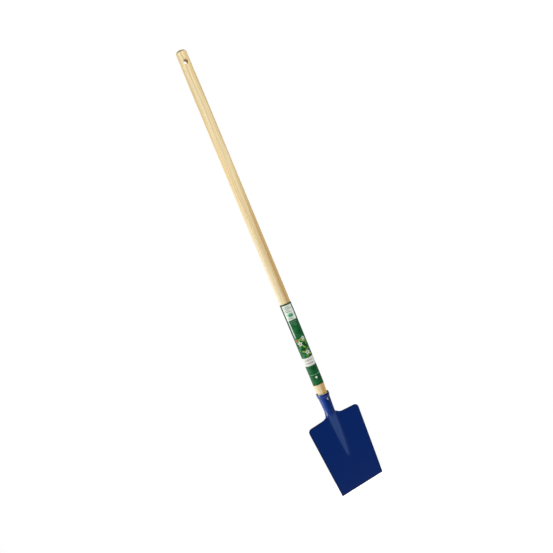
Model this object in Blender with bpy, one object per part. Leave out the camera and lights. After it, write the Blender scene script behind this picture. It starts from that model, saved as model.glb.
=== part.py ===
"""A child's garden spade: a long round wooden handle in a pressed steel head.

The spade hangs upright from its hanging hole, whose middle is the origin. +Z runs
up the axis of the handle and the front of the blade looks along -Y. Heights in
this file are millimetres above the cutting edge; the last step hangs the pieces up.
"""

import math

import bmesh
import bpy
from mathutils import Matrix, Vector
from mathutils.geometry import delaunay_2d_cdt

MILLIMETRE = 0.001

# Overall size
OVERALL_LENGTH = 985.0
ASSEMBLY_GAP = 0.3
CUTTER_OVERSHOOT = 6.0

# Handle, turned from one length of light wood
HANDLE_RADIUS = 12.1
GRIP_END_RADIUS = 11.7
LABEL_SEAT_RADIUS = 11.45
TAPER_TOP_RADIUS = 11.95
TAPER_FOOT_RADIUS = 10.6
MOUTH_WOOD_RADIUS = 10.35
HANDLE_FOOT = 167.0
HANDLE_FOOT_RADIUS = 8.9
HANDLE_FOOT_CHAMFER = 0.8
GRIP_DOME = 7.5
HANDLE_SIDES = 48

# Hanging hole, bored across the handle and countersunk at both ends
HOLE_DIAMETER = 9.0
COUNTERSINK_DIAMETER = 13.0
HOLE_HEIGHT = 957.5
HOLE_TURN = math.radians(-16.0)

# Printed label, a film sleeve round the handle above the head
LABEL_BOTTOM = 234.5
LABEL_TOP = 420.0
LABEL_FILM = 0.25
LABEL_SEAT_STEP = 0.6

# Head, one pressed sheet: a flat blade, a hollow rib and a rolled socket
SHEET = 1.5
SHOULDER_APEX = 160.8
BLADE_CANT = math.radians(3.45)
BLADE_FORWARD = 2.6
BLADE_TOP_HALF_WIDTH = 67.4
BLADE_TIP_HALF_WIDTH = 55.5
SHOULDER_DROOP = math.radians(2.95)
CORNER_RADIUS = 8.8
SOCKET_MOUTH = 213.0
MOUTH_TILT = 1.7
SOCKET_NECK_RADIUS = 10.85
SOCKET_COLLAR_RADIUS = 12.8
SOCKET_BEAD_RADIUS = 13.25
SOCKET_MOUTH_RADIUS = 14.0
COLLAR_HEIGHT = 202.6
BEAD_HEIGHT = 204.8
NECK_HEIGHT = 168.0
SEAM_HALF_ANGLE = math.radians(4.0)
SOCKET_CLOSED = 178.0
SHOULDER_FILLET_TOP = 173.0
SHOULDER_FILLET_REACH = 17.5

# Rib, pressed out to the front and hollow at the back
RIB_HALF_WIDTH = 13.0
RIB_END_HALF_WIDTH = 5.0
RIB_HEIGHT = 7.1
RIB_LENGTH = 97.0
RIB_FOOT_RADIUS = 4.0
RIB_FOOT_SHARE = 0.45
RIB_SOFTENING = 40.0
RIB_SINKING = 1.15
RIB_NARROWING = 1.6
RIB_LEAST_RISE = 0.02

# Nail through the front of the socket into the wood
NAIL_HEIGHT = 199.5
NAIL_HEAD_RADIUS = 2.2
NAIL_HEAD_RIM = 0.25
NAIL_HEAD_DOME = 1.0
NAIL_SHANK_RADIUS = 1.25
NAIL_LENGTH = 19.0
NAIL_POINT = 3.0
NAIL_TIP_RADIUS = 0.15
NAIL_HOLE_TIP_RADIUS = 0.4

# Spacing of the points of the blank: rows close together where the sheet bends
MOUTH_ROW = 2.0
SOCKET_ROW = 3.0
RIB_ROW = 4.6
FLAT_ROW = 11.5
SOCKET_COLUMNS = 12
RIB_COLUMNS = 8
FLAT_COLUMNS = 5.6
FLAT_MARGIN = 5.0
RIM_CLEARANCE = 1.1
TIP_STEPS = 8
SIDE_STEPS = 18
CORNER_STEPS = 6
SHOULDER_STEPS = 6
FILLET_STEPS = 9
SOCKET_STEPS = 13
MOUTH_STEPS = 12


def clear_scene():
    """Remove every object that the scene starts with."""
    for item in list(bpy.data.objects):
        bpy.data.objects.remove(item, do_unlink=True)


def blend(start, end, share):
    """Return the value that lies a share of the way from start to end."""
    return start + (end - start) * share


def smooth_share(value, start, end):
    """Return 0 before start and 1 after end, with a soft change between them."""
    share = min(max((value - start) / (end - start), 0.0), 1.0)
    return share * share * (3.0 - 2.0 * share)


def along_stations(stations, height):
    """Read a radius at a height from a rising list of (height, radius) stations."""
    if height <= stations[0][0]:
        return stations[0][1]
    for (low, low_value), (high, high_value) in zip(stations, stations[1:]):
        if height <= high:
            return blend(low_value, high_value, (height - low) / (high - low))
    return stations[-1][1]


def make_material(name, colour, roughness, metallic=0.0):
    """Make a plain Principled material."""
    material = bpy.data.materials.new(name)
    material.use_nodes = True
    shader = material.node_tree.nodes["Principled BSDF"]
    shader.inputs["Base Color"].default_value = (*colour, 1.0)
    shader.inputs["Roughness"].default_value = roughness
    shader.inputs["Metallic"].default_value = metallic
    material.diffuse_color = (*colour, 1.0)
    return material


def place_mesh(name, shape, material, sharp_degrees=35.0):
    """Turn a millimetre bmesh into a smooth shaded object in metres."""
    bmesh.ops.scale(shape, vec=Vector((MILLIMETRE,) * 3), verts=shape.verts)
    bmesh.ops.recalc_face_normals(shape, faces=shape.faces)
    mesh = bpy.data.meshes.new(name)
    shape.to_mesh(mesh)
    shape.free()
    mesh.shade_smooth()
    mesh.set_sharp_from_angle(angle=math.radians(sharp_degrees))
    item = bpy.data.objects.new(name, mesh)
    bpy.context.scene.collection.objects.link(item)
    if material is not None:
        mesh.materials.append(material)
    return item


def turned_shape(profile, sides):
    """Turn a list of (radius, height) points, rising in height, about the Z axis."""
    shape = bmesh.new()
    rings = []
    for radius, height in profile:
        ring = []
        for step in range(sides):
            angle = 2.0 * math.pi * step / sides
            ring.append(shape.verts.new((radius * math.cos(angle), radius * math.sin(angle), height)))
        rings.append(ring)
    for lower, upper in zip(rings, rings[1:]):
        for step in range(sides):
            after = (step + 1) % sides
            shape.faces.new((lower[step], lower[after], upper[after], upper[step]))
    shape.faces.new(list(reversed(rings[0])))
    shape.faces.new(rings[-1])
    return shape


def use_as_cutter(cutter, target):
    """Cut the target with a hidden object and leave the cutter out of the model."""
    cutter.hide_render = True
    cutter.display_type = "WIRE"
    modifier = target.modifiers.new(cutter.name, "BOOLEAN")
    modifier.operation = "DIFFERENCE"
    modifier.solver = "EXACT"
    modifier.object = cutter


def handle_stations():
    """List the (height, radius) stations of the wood from its foot to below the grip dome."""
    return [
        (HANDLE_FOOT + 1.0, HANDLE_FOOT_RADIUS),
        (185.0, 9.7),
        (200.0, 10.1),
        (SOCKET_MOUTH, MOUTH_WOOD_RADIUS),
        (219.0, TAPER_FOOT_RADIUS),
        (227.0, 11.3),
        (LABEL_BOTTOM - ASSEMBLY_GAP - LABEL_SEAT_STEP, TAPER_TOP_RADIUS),
        (LABEL_BOTTOM - ASSEMBLY_GAP, LABEL_SEAT_RADIUS),
        (LABEL_BOTTOM + 15.0, LABEL_SEAT_RADIUS),
        (330.0, 11.65),
        (450.0, HANDLE_RADIUS),
        (600.0, HANDLE_RADIUS),
        (750.0, HANDLE_RADIUS),
        (900.0, HANDLE_RADIUS),
        (940.0, GRIP_END_RADIUS),
        (970.0, GRIP_END_RADIUS),
    ]


def handle_radius(height):
    """Return the radius of the wood at a height above the cutting edge."""
    return along_stations(handle_stations(), height)


def handle_profile():
    """List the handle's outline from its foot in the socket to the rounded grip end."""
    profile = [(HANDLE_FOOT_RADIUS - HANDLE_FOOT_CHAMFER, HANDLE_FOOT)]
    for height, radius in handle_stations():
        profile.append((radius, height))
    dome_steps = 8
    for step in range(dome_steps):
        angle = 0.5 * math.pi * step / dome_steps
        lift = GRIP_DOME * math.sin(angle)
        profile.append((GRIP_END_RADIUS * math.cos(angle), OVERALL_LENGTH - GRIP_DOME + lift))
    profile[-1] = (profile[-1][0], OVERALL_LENGTH)
    return profile


def build_handle(material):
    """Make the wooden handle with its hanging hole and its nail hole."""
    handle = place_mesh("handle", turned_shape(handle_profile(), HANDLE_SIDES), material)

    reach = GRIP_END_RADIUS + CUTTER_OVERSHOOT
    bore = 0.5 * HOLE_DIAMETER
    sink = 0.5 * COUNTERSINK_DIAMETER
    sink_depth = sink - bore
    sink_base = GRIP_END_RADIUS - sink_depth
    wide = bore + (reach - sink_base)
    profile = [(wide, -reach), (bore, -sink_base), (bore, sink_base), (wide, reach)]
    shape = turned_shape(profile, 32)
    turn = Matrix.Rotation(HOLE_TURN, 4, "Z") @ Matrix.Rotation(math.radians(90.0), 4, "X")
    bmesh.ops.transform(shape, matrix=turn, verts=shape.verts)
    bmesh.ops.translate(shape, vec=Vector((0.0, 0.0, HOLE_HEIGHT)), verts=shape.verts)
    use_as_cutter(place_mesh("hanging_hole_cutter", shape, None), handle)

    use_as_cutter(nail_hole_cutter("wood_nail_hole_cutter"), handle)
    return handle


def build_label(material):
    """Make the film sleeve that is wrapped round the handle above the head."""
    shape = bmesh.new()
    heights = (LABEL_BOTTOM, LABEL_BOTTOM + 15.0, 330.0, 390.0, LABEL_TOP)
    rings = []
    for offset in (ASSEMBLY_GAP, ASSEMBLY_GAP + LABEL_FILM):
        for height in heights if offset == ASSEMBLY_GAP else reversed(heights):
            radius = handle_radius(height) + offset
            ring = []
            for step in range(HANDLE_SIDES):
                angle = 2.0 * math.pi * step / HANDLE_SIDES
                ring.append(shape.verts.new((radius * math.cos(angle), radius * math.sin(angle), height)))
            rings.append(ring)
    for lower, upper in zip(rings, rings[1:] + rings[:1]):
        for step in range(HANDLE_SIDES):
            after = (step + 1) % HANDLE_SIDES
            shape.faces.new((lower[step], upper[step], upper[after], lower[after]))
    return place_mesh("label_sleeve", shape, material)


def socket_radius(height):
    """Return the radius of the socket's middle surface at a height."""
    stations = [
        (SHOULDER_APEX, SOCKET_NECK_RADIUS - 0.4),
        (NECK_HEIGHT, SOCKET_NECK_RADIUS),
        (COLLAR_HEIGHT, SOCKET_COLLAR_RADIUS),
        (BEAD_HEIGHT, SOCKET_BEAD_RADIUS),
        (SOCKET_MOUTH, SOCKET_MOUTH_RADIUS),
    ]
    return along_stations(stations, height) - 0.5 * SHEET


def blade_plane(height):
    """Return the Y of the blade's middle surface, which leans forward towards the tip."""
    return -BLADE_FORWARD - math.tan(BLADE_CANT) * max(SHOULDER_APEX - height, 0.0)


def rib_section(height):
    """Return the rib's rise and half width at a height; both shrink towards its tip."""
    share = min(max(SHOULDER_APEX - height, 0.0) / RIB_LENGTH, 1.0)
    rise = RIB_HEIGHT * (1.0 - share) ** RIB_SINKING
    half_width = blend(RIB_END_HALF_WIDTH, RIB_HALF_WIDTH, 1.0 - share ** RIB_NARROWING)
    return rise, half_width


def rib_rise(across, height):
    """Return how far the rib stands out of the blade at a point of the blade."""
    rise, half_width = rib_section(height)
    distance = abs(across)
    if distance >= half_width or rise < RIB_LEAST_RISE:
        return 0.0
    turn = 2.0 * math.atan2(rise, half_width)
    bends = half_width / math.sin(turn)
    softness = smooth_share(SHOULDER_APEX - height, 0.0, RIB_SOFTENING)
    foot_radius = blend(RIB_FOOT_RADIUS, RIB_FOOT_SHARE * bends, softness)
    crown_radius = bends - foot_radius
    if distance <= crown_radius * math.sin(turn):
        return rise - crown_radius + math.sqrt(crown_radius ** 2 - distance ** 2)
    return foot_radius - math.sqrt(foot_radius ** 2 - (half_width - distance) ** 2)


def rib_root_turn():
    """Return the angle through which the sheet turns at the foot of the rib's upper end."""
    return 2.0 * math.atan2(RIB_HEIGHT, RIB_HALF_WIDTH)


def opening_shape(height):
    """Return the crown radius, crown angle and flare angle of a section of the neck."""
    closed = smooth_share(height, SHOULDER_APEX, SOCKET_CLOSED)
    rib_turn = rib_root_turn()
    rib_crown = RIB_HALF_WIDTH / math.sin(rib_turn) - RIB_FOOT_RADIUS
    radius = blend(rib_crown, socket_radius(height), closed)
    crown_angle = blend(rib_turn, math.pi - SEAM_HALF_ANGLE, closed)
    flare_angle = rib_turn * (1.0 - closed)
    return radius, crown_angle, flare_angle


def crown_width(height):
    """Return the width on the flat blank of the part that becomes the crown of a section."""
    radius, crown_angle, _ = opening_shape(max(height, SHOULDER_APEX))
    return radius * crown_angle


def neck_point(blank_across, height):
    """Bend a point of the flat blank above the shoulders round the handle's axis."""
    radius, crown_angle, flare_angle = opening_shape(height)
    side = math.copysign(1.0, blank_across)
    length = abs(blank_across)
    crown_length = radius * crown_angle
    rib_crown = opening_shape(SHOULDER_APEX)[0]
    closed = smooth_share(height, SHOULDER_APEX, SOCKET_CLOSED)
    centre_y = blend(rib_crown - RIB_HEIGHT - BLADE_FORWARD, 0.0, closed)
    angle = crown_angle * min(length / crown_length, 1.0)
    across = radius * math.sin(angle)
    depth = centre_y - radius * math.cos(angle)
    left = length - crown_length
    if left > 0.0:
        turn = min(left / RIB_FOOT_RADIUS, flare_angle)
        heading = angle - turn
        across += RIB_FOOT_RADIUS * (math.sin(angle) - math.sin(heading))
        depth += RIB_FOOT_RADIUS * (math.cos(heading) - math.cos(angle))
        straight = left - RIB_FOOT_RADIUS * turn
        across += straight * math.cos(heading)
        depth += straight * math.sin(heading)
    tilt = MOUTH_TILT * math.cos(angle) * smooth_share(height, BEAD_HEIGHT, SOCKET_MOUTH)
    return Vector((side * across, depth, height - tilt))


def rib_root_width():
    """Return the half width on the flat blank of the rib's upper end."""
    return (opening_shape(SHOULDER_APEX)[0] + RIB_FOOT_RADIUS) * rib_root_turn()


def head_point(blank_across, height):
    """Press a point of the flat blank into the shape of the head."""
    if height >= SHOULDER_APEX:
        return neck_point(blank_across, height)
    curled = neck_point(blank_across, SHOULDER_APEX).x
    foot_width = rib_root_width()
    even = blank_across * RIB_HALF_WIDTH / foot_width
    if abs(blank_across) > foot_width:
        even = curled
    across = blend(curled, even, smooth_share(SHOULDER_APEX - height, 0.0, RIB_LENGTH))
    depth = blade_plane(height) - rib_rise(across, height)
    return Vector((across, depth, height))


def across_to_blank(across):
    """Return the place on the flat blank of a point of the wings beside the rib."""
    return rib_root_width() + across - RIB_HALF_WIDTH


def side_across(height):
    """Return the blade's half width at a height."""
    corner = SHOULDER_APEX - BLADE_TOP_HALF_WIDTH * math.tan(SHOULDER_DROOP)
    return blend(BLADE_TIP_HALF_WIDTH, BLADE_TOP_HALF_WIDTH, height / corner)


def shoulder_height(across):
    """Return the height of the drooping shoulder at a distance from the axis."""
    return SHOULDER_APEX - across * math.tan(SHOULDER_DROOP)


def corner_points():
    """List the rounded upper corner of the blade from its side to its shoulder."""
    corner_height = shoulder_height(BLADE_TOP_HALF_WIDTH)
    lean = math.atan2(BLADE_TOP_HALF_WIDTH - BLADE_TIP_HALF_WIDTH, corner_height)
    start_angle = -lean
    end_angle = math.radians(90.0) - SHOULDER_DROOP
    setback = CORNER_RADIUS * math.tan(0.5 * (end_angle - start_angle))
    start = Vector((
        BLADE_TOP_HALF_WIDTH - setback * math.sin(lean),
        corner_height - setback * math.cos(lean),
    ))
    centre = start - CORNER_RADIUS * Vector((math.cos(start_angle), math.sin(start_angle)))
    points = []
    for step in range(CORNER_STEPS + 1):
        angle = blend(start_angle, end_angle, step / CORNER_STEPS)
        points.append(centre + CORNER_RADIUS * Vector((math.cos(angle), math.sin(angle))))
    return points


def half_outline():
    """List the blank's right half, from the middle of the tip to the middle of the mouth."""
    points = []
    for step in range(TIP_STEPS):
        points.append((across_to_blank(BLADE_TIP_HALF_WIDTH) * step / TIP_STEPS, 0.0))
    corner = corner_points()
    side_top = corner[0].y
    for step in range(SIDE_STEPS):
        height = side_top * step / SIDE_STEPS
        points.append((across_to_blank(side_across(height)), height))
    for point in corner:
        points.append((across_to_blank(point.x), point.y))
    fillet_start = RIB_HALF_WIDTH + SHOULDER_FILLET_REACH
    for step in range(1, SHOULDER_STEPS):
        across = blend(corner[-1].x, fillet_start, step / SHOULDER_STEPS)
        points.append((across_to_blank(across), shoulder_height(across)))
    fillet_base = shoulder_height(fillet_start)
    for step in range(FILLET_STEPS + 1):
        angle = 0.5 * math.pi * step / FILLET_STEPS
        height = blend(fillet_base, SHOULDER_FILLET_TOP, 1.0 - math.cos(angle))
        base_margin = across_to_blank(fillet_start) - crown_width(fillet_base)
        margin = base_margin * (1.0 - math.sin(angle))
        points.append((crown_width(height) + margin, height))
    for step in range(1, SOCKET_STEPS + 1):
        height = blend(SHOULDER_FILLET_TOP, SOCKET_MOUTH, step / SOCKET_STEPS)
        points.append((crown_width(height), height))
    for step in range(1, MOUTH_STEPS):
        points.append((crown_width(SOCKET_MOUTH) * (1.0 - step / MOUTH_STEPS), SOCKET_MOUTH))
    points.append((0.0, SOCKET_MOUTH))
    return points


def inner_points():
    """List points inside the blank: close together where it bends, wide apart on the flats."""
    points = []
    height = SOCKET_MOUTH
    rib_tip = SHOULDER_APEX - RIB_LENGTH
    while height > rib_tip - 8.0:
        if height > COLLAR_HEIGHT:
            height -= MOUTH_ROW
        elif height > SHOULDER_APEX:
            height -= SOCKET_ROW
        else:
            height -= RIB_ROW
        columns = SOCKET_COLUMNS if height > SHOULDER_APEX - 8.0 else RIB_COLUMNS
        for column in range(-columns, columns + 1):
            width = crown_width(height)
            if height < SHOULDER_APEX:
                width = across_to_blank(RIB_HALF_WIDTH)
            points.append((width * column / columns, height))
    for row in range(1, 14):
        height = FLAT_ROW * row
        for column in range(-5, 6):
            across = side_across(height) * column / FLAT_COLUMNS
            beside_rib = abs(across) > RIB_HALF_WIDTH + FLAT_MARGIN
            below_rib = height < rib_tip - 2.0 * FLAT_MARGIN
            if beside_rib or below_rib:
                blank = across_to_blank(abs(across)) if beside_rib else abs(across)
                points.append((math.copysign(blank, across), height))
    return points


def is_inside(point, outline, margin):
    """Tell whether a point lies inside a closed outline and clear of its edges."""
    inside = False
    place = Vector(point)
    for start, end in zip(outline, outline[1:] + outline[:1]):
        edge = Vector(end) - Vector(start)
        share = min(max((place - Vector(start)).dot(edge) / edge.length_squared, 0.0), 1.0)
        if (place - Vector(start) - edge * share).length < margin:
            return False
        if (start[1] > place.y) != (end[1] > place.y):
            crossing = start[0] + edge.x * (place.y - start[1]) / edge.y
            if place.x < crossing:
                inside = not inside
    return inside


def build_head(material):
    """Cut the blank, press it, roll its socket and give it the sheet's thickness."""
    right = half_outline()
    left = [(-across, height) for across, height in reversed(right[1:-1])]
    outline = right + left
    inside = [point for point in inner_points() if is_inside(point, outline, RIM_CLEARANCE)]
    flat = [Vector(point) for point in outline + inside]
    edges = [(index, (index + 1) % len(outline)) for index in range(len(outline))]
    flat, _, faces, _, _, _ = delaunay_2d_cdt(flat, edges, [], 1, 1e-4)

    shape = bmesh.new()
    verts = [shape.verts.new(head_point(point.x, point.y)) for point in flat]
    for face in faces:
        shape.faces.new([verts[index] for index in face])
    base_lift = 0.5 * SHEET * math.sin(BLADE_CANT)
    for vert in shape.verts:
        if vert.co.z < base_lift:
            vert.co.z = base_lift
    head = place_mesh("blade_head", shape, material, 40.0)
    solid = head.modifiers.new("sheet_thickness", "SOLIDIFY")
    solid.thickness = SHEET * MILLIMETRE
    solid.offset = 0.0
    solid.use_even_offset = True
    use_as_cutter(nail_hole_cutter("sheet_nail_hole_cutter"), head)
    return head


def nail_seat():
    """Return the distance from the axis to the underside of the nail's head."""
    return socket_radius(NAIL_HEIGHT) + 0.5 * SHEET + ASSEMBLY_GAP


def point_forward(shape, start):
    """Turn a shape's +Z to -Y and stand its base a distance in front of the axis."""
    bmesh.ops.transform(shape, matrix=Matrix.Rotation(math.radians(90.0), 4, "X"), verts=shape.verts)
    bmesh.ops.translate(shape, vec=Vector((0.0, -start, NAIL_HEIGHT)), verts=shape.verts)


def nail_hole_cutter(name):
    """Make the hidden bore that the nail's shank goes through."""
    radius = NAIL_SHANK_RADIUS + ASSEMBLY_GAP
    depth = NAIL_LENGTH + 1.0
    profile = [(NAIL_HOLE_TIP_RADIUS, -depth), (radius, -depth + NAIL_POINT), (radius, CUTTER_OVERSHOOT)]
    shape = turned_shape(profile, 20)
    point_forward(shape, nail_seat())
    return place_mesh(name, shape, None)


def build_nail(material):
    """Make the domed nail that holds the handle in the socket."""
    profile = [
        (NAIL_TIP_RADIUS, -NAIL_LENGTH),
        (NAIL_SHANK_RADIUS, -NAIL_LENGTH + NAIL_POINT),
        (NAIL_SHANK_RADIUS, 0.0),
        (NAIL_HEAD_RADIUS, 0.0),
    ]
    steps = 5
    for step in range(1, steps):
        angle = 0.5 * math.pi * step / steps
        profile.append((NAIL_HEAD_RADIUS * math.cos(angle), NAIL_HEAD_RIM + NAIL_HEAD_DOME * math.sin(angle)))
    shape = turned_shape(profile, 24)
    point_forward(shape, nail_seat())
    return place_mesh("socket_nail", shape, material)


def hang_up(pieces):
    """Parent the pieces and their cutters to an empty that brings the hanging hole to the origin."""
    hook = bpy.data.objects.new("hook", None)
    hook.location.z = -HOLE_HEIGHT * MILLIMETRE
    bpy.context.scene.collection.objects.link(hook)
    for piece in pieces:
        piece.parent = hook


def main():
    """Build the spade."""
    clear_scene()
    wood = make_material("light_pine", (0.80, 0.64, 0.36), 0.55)
    film = make_material("green_printed_film", (0.02, 0.13, 0.05), 0.40)
    enamel = make_material("navy_blue_enamel", (0.006, 0.022, 0.115), 0.35)
    steel = make_material("bright_steel", (0.75, 0.76, 0.78), 0.25, 1.0)
    build_handle(wood)
    build_label(film)
    build_head(enamel)
    build_nail(steel)
    hang_up(list(bpy.data.objects))


main()
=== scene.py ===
"""Looks of a child's garden spade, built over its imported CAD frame.

The spade hangs upright from its hanging hole, whose middle is the origin. +Z runs up
the axis of the handle and the front of the blade looks along -Y. Heights in this file
are millimetres above the cutting edge, and row_height turns them into metres of the row.
"""

import logging
import math
from collections.abc import Callable, Sequence
from dataclasses import dataclass
from enum import Enum

import bmesh
import bpy
from mathutils import Matrix, Vector

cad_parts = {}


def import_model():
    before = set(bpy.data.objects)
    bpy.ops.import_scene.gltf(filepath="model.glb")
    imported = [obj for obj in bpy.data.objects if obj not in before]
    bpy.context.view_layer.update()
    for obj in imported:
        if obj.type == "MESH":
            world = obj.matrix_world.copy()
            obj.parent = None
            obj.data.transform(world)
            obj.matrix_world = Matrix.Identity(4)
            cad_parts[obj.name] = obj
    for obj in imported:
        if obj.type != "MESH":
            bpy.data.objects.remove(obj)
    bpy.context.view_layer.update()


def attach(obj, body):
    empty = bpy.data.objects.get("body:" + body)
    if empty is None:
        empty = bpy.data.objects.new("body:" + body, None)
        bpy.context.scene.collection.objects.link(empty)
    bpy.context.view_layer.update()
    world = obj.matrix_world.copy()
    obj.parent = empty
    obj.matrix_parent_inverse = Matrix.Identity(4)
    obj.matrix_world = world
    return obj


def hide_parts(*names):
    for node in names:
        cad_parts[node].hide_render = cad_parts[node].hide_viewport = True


MILLIMETRE = 0.001
HOLE_HEIGHT = 957.5
WHITE = (1.0, 1.0, 1.0, 1.0)

# By how many millimetres rounding may leave a sum of lengths too long
ROUNDING = 1e-9

# How far back a mirrored ray looks where it starts to see white, and where it sees only white
BEHIND = (0.2, 0.5)

# Inputs of a Mix node that mixes colours
MIX_GROUND = 6
MIX_TONE = 7

# Short names of types. A Source is what can feed an input of a node: a socket, or a node for
# its first output in use
Pair = tuple[float, float]
Triple = tuple[float, float, float]
Piece = bpy.types.Object
Material = bpy.types.Material
Tree = bpy.types.NodeTree
Source = bpy.types.Node | bpy.types.NodeSocket
EdgeTest = Callable[[bmesh.types.BMEdge], bool]
EdgeLine = Callable[[float], Vector]

log = logging.getLogger("spade")


class Slot(Enum):
    """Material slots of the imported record."""

    ENAMEL = "blue_enamel"
    WOOD = "light_wood"
    FILM = "printed_film"
    STEEL = "bright_steel"


class Node(Enum):
    """CAD nodes that the finer pieces stand for."""

    HEAD = "blade_head"
    HANDLE = "handle"
    LABEL = "label_sleeve"
    NAIL = "socket_nail"


# Plain sums


def row_height(height: float) -> float:
    """Turn millimetres above the cutting edge into metres above the hanging hole."""
    return (height - HOLE_HEIGHT) * MILLIMETRE


def mix(start: float, end: float, share: float) -> float:
    """Return the value that lies a share of the way from start to end."""
    return start + (end - start) * share


def soft_share(value: float, start: float, end: float) -> float:
    """Return 0 before start and 1 after end, with a soft change between them."""
    share = min(max((value - start) / (end - start), 0.0), 1.0)
    return share * share * (3.0 - 2.0 * share)


def along(stations: Sequence[Pair], place: float) -> float:
    """Read a value at a place from rising (place, value) stations.

    Args:
        stations: The (place, value) pairs, rising in place.
        place: Where to read.

    Returns:
        The value between the two nearest stations.
    """
    if place <= stations[0][0]:
        return stations[0][1]
    for (low, low_value), (high, high_value) in zip(stations, stations[1:]):
        if place <= high:
            return mix(low_value, high_value, (place - low) / (high - low))
    return stations[-1][1]


def linear_colour(code: str) -> tuple[float, float, float, float]:
    """Turn an sRGB hex code into a linear colour.

    Args:
        code: The code, such as "#15388A".

    Returns:
        Red, green, blue and a full alpha.
    """
    levels = [int(code[at : at + 2], 16) / 255.0 for at in (1, 3, 5)]
    linear = [v / 12.92 if v <= 0.04045 else ((v + 0.055) / 1.055) ** 2.4 for v in levels]
    return (linear[0], linear[1], linear[2], 1.0)


# Modelling with Blender's operators


def nothing_selected() -> None:
    """Leave no object selected, because an operator acts on all that is selected."""
    bpy.ops.object.select_all(action="DESELECT")


def make_active(piece: Piece) -> None:
    """Select one object and nothing else, and make it the active one.

    Args:
        piece: The object.
    """
    nothing_selected()
    piece.select_set(True)
    bpy.context.view_layer.objects.active = piece


def settle(piece: Piece) -> None:
    """Move the place, turn and scale of an object into its mesh."""
    make_active(piece)
    bpy.ops.object.transform_apply(location=True, rotation=True, scale=True)


def face_outwards(piece: Piece) -> None:
    """Point every face of a piece outwards.

    Args:
        piece: The closed piece or bare tube.
    """
    make_active(piece)
    bpy.ops.object.mode_set(mode="EDIT")
    bpy.ops.mesh.select_all(action="SELECT")
    bpy.ops.mesh.normals_make_consistent(inside=False)
    bpy.ops.object.mode_set(mode="OBJECT")


def apply_modifier(piece: Piece, kind: str, **settings: object) -> None:
    """Add a modifier with its settings and apply it at once.

    Args:
        piece: The object that gets the modifier.
        kind: Blender's type name of the modifier.
        settings: The modifier's properties by name.
    """
    make_active(piece)
    modifier = piece.modifiers.new(kind.lower(), kind)
    for name, value in settings.items():
        setattr(modifier, name, value)
    bpy.ops.object.modifier_apply(modifier=modifier.name)


def cut_away(piece: Piece, cutter: Piece) -> None:
    """Cut a piece with a cutter and remove the cutter."""
    apply_modifier(piece, "BOOLEAN", operation="DIFFERENCE", solver="EXACT", object=cutter)
    bpy.data.objects.remove(cutter, do_unlink=True)


def select_edges(shape: bmesh.types.BMesh, wanted: EdgeTest) -> int:
    """Select the edges of a shape that meet a condition, and nothing else.

    Args:
        shape: The shape in edit mode.
        wanted: Tells whether an edge is to be selected.

    Returns:
        How many edges are selected.
    """
    for part in (*shape.faces, *shape.edges, *shape.verts):
        part.select = False
    chosen = [edge for edge in shape.edges if wanted(edge)]
    for edge in chosen:
        edge.select_set(True)
    shape.select_flush_mode()
    return len(chosen)


def soften_edges(piece: Piece, wanted: EdgeTest, width: float) -> None:
    """Round the edges of a piece that meet a condition.

    Args:
        piece: The object to work on.
        wanted: Tells whether an edge is rounded.
        width: Width of the rounding in millimetres.
    """
    make_active(piece)
    bpy.ops.object.mode_set(mode="EDIT")
    bpy.ops.mesh.select_mode(type="EDGE")
    shape = bmesh.from_edit_mesh(piece.data)
    count = select_edges(shape, wanted)
    bmesh.update_edit_mesh(piece.data)
    if count:
        bpy.ops.mesh.bevel(offset=width * MILLIMETRE, segments=2, clamp_overlap=True)
    bpy.ops.object.mode_set(mode="OBJECT")


def turn_piece(name: str, stations: Sequence[Pair], sides: int, closed: bool = True) -> Piece:
    """Turn a round piece about the Z axis, as on a lathe.

    A circle at the first station is extruded and resized from station to station.

    Args:
        name: Name of the new object.
        stations: (radius, Z) pairs in millimetres, rising in Z.
        sides: Number of sides of the circle.
        closed: Whether the ends have caps; an open piece is a bare tube.

    Returns:
        The new object, with its faces outwards.
    """
    nothing_selected()
    radius, start = stations[0]
    foot = (0.0, 0.0, start * MILLIMETRE)
    fill = "NGON" if closed else "NOTHING"
    bpy.ops.mesh.primitive_circle_add(
        vertices=sides, radius=radius * MILLIMETRE, fill_type=fill, location=foot
    )
    piece = bpy.context.active_object
    piece.name = name
    piece.data.name = name
    bpy.ops.object.mode_set(mode="EDIT")
    bpy.ops.mesh.select_all(action="SELECT")
    for (lower, low), (upper, high) in zip(stations, stations[1:]):
        lift = {"value": (0.0, 0.0, (high - low) * MILLIMETRE)}
        if closed:
            bpy.ops.mesh.extrude_region_move(TRANSFORM_OT_translate=lift)
        else:
            bpy.ops.mesh.extrude_edges_move(TRANSFORM_OT_translate=lift)
        share = upper / lower
        bpy.ops.transform.resize(value=(share, share, 1.0), center_override=(0.0, 0.0, high * MILLIMETRE))
    bpy.ops.object.mode_set(mode="OBJECT")
    settle(piece)
    face_outwards(piece)
    return piece


def finish_piece(piece: Piece, material: Material, sharp: float) -> None:
    """Give a piece its material and its smooth shading.

    Args:
        piece: The object to dress.
        material: Its only material.
        sharp: Angle in degrees above which an edge stays sharp.
    """
    piece.data.materials.clear()
    piece.data.materials.append(material)
    make_active(piece)
    bpy.ops.object.shade_smooth_by_angle(angle=math.radians(sharp))


def hand_over(piece: Piece, node: Node) -> None:
    """Let a piece ride on the spade in place of its CAD node, and report it.

    Args:
        piece: The finished piece.
        node: The CAD node that it stands for.
    """
    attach(piece, "root")
    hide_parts(node.value)
    log.info("%s: %d faces, stands for %s", piece.name, len(piece.data.polygons), node.value)


# Materials


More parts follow.
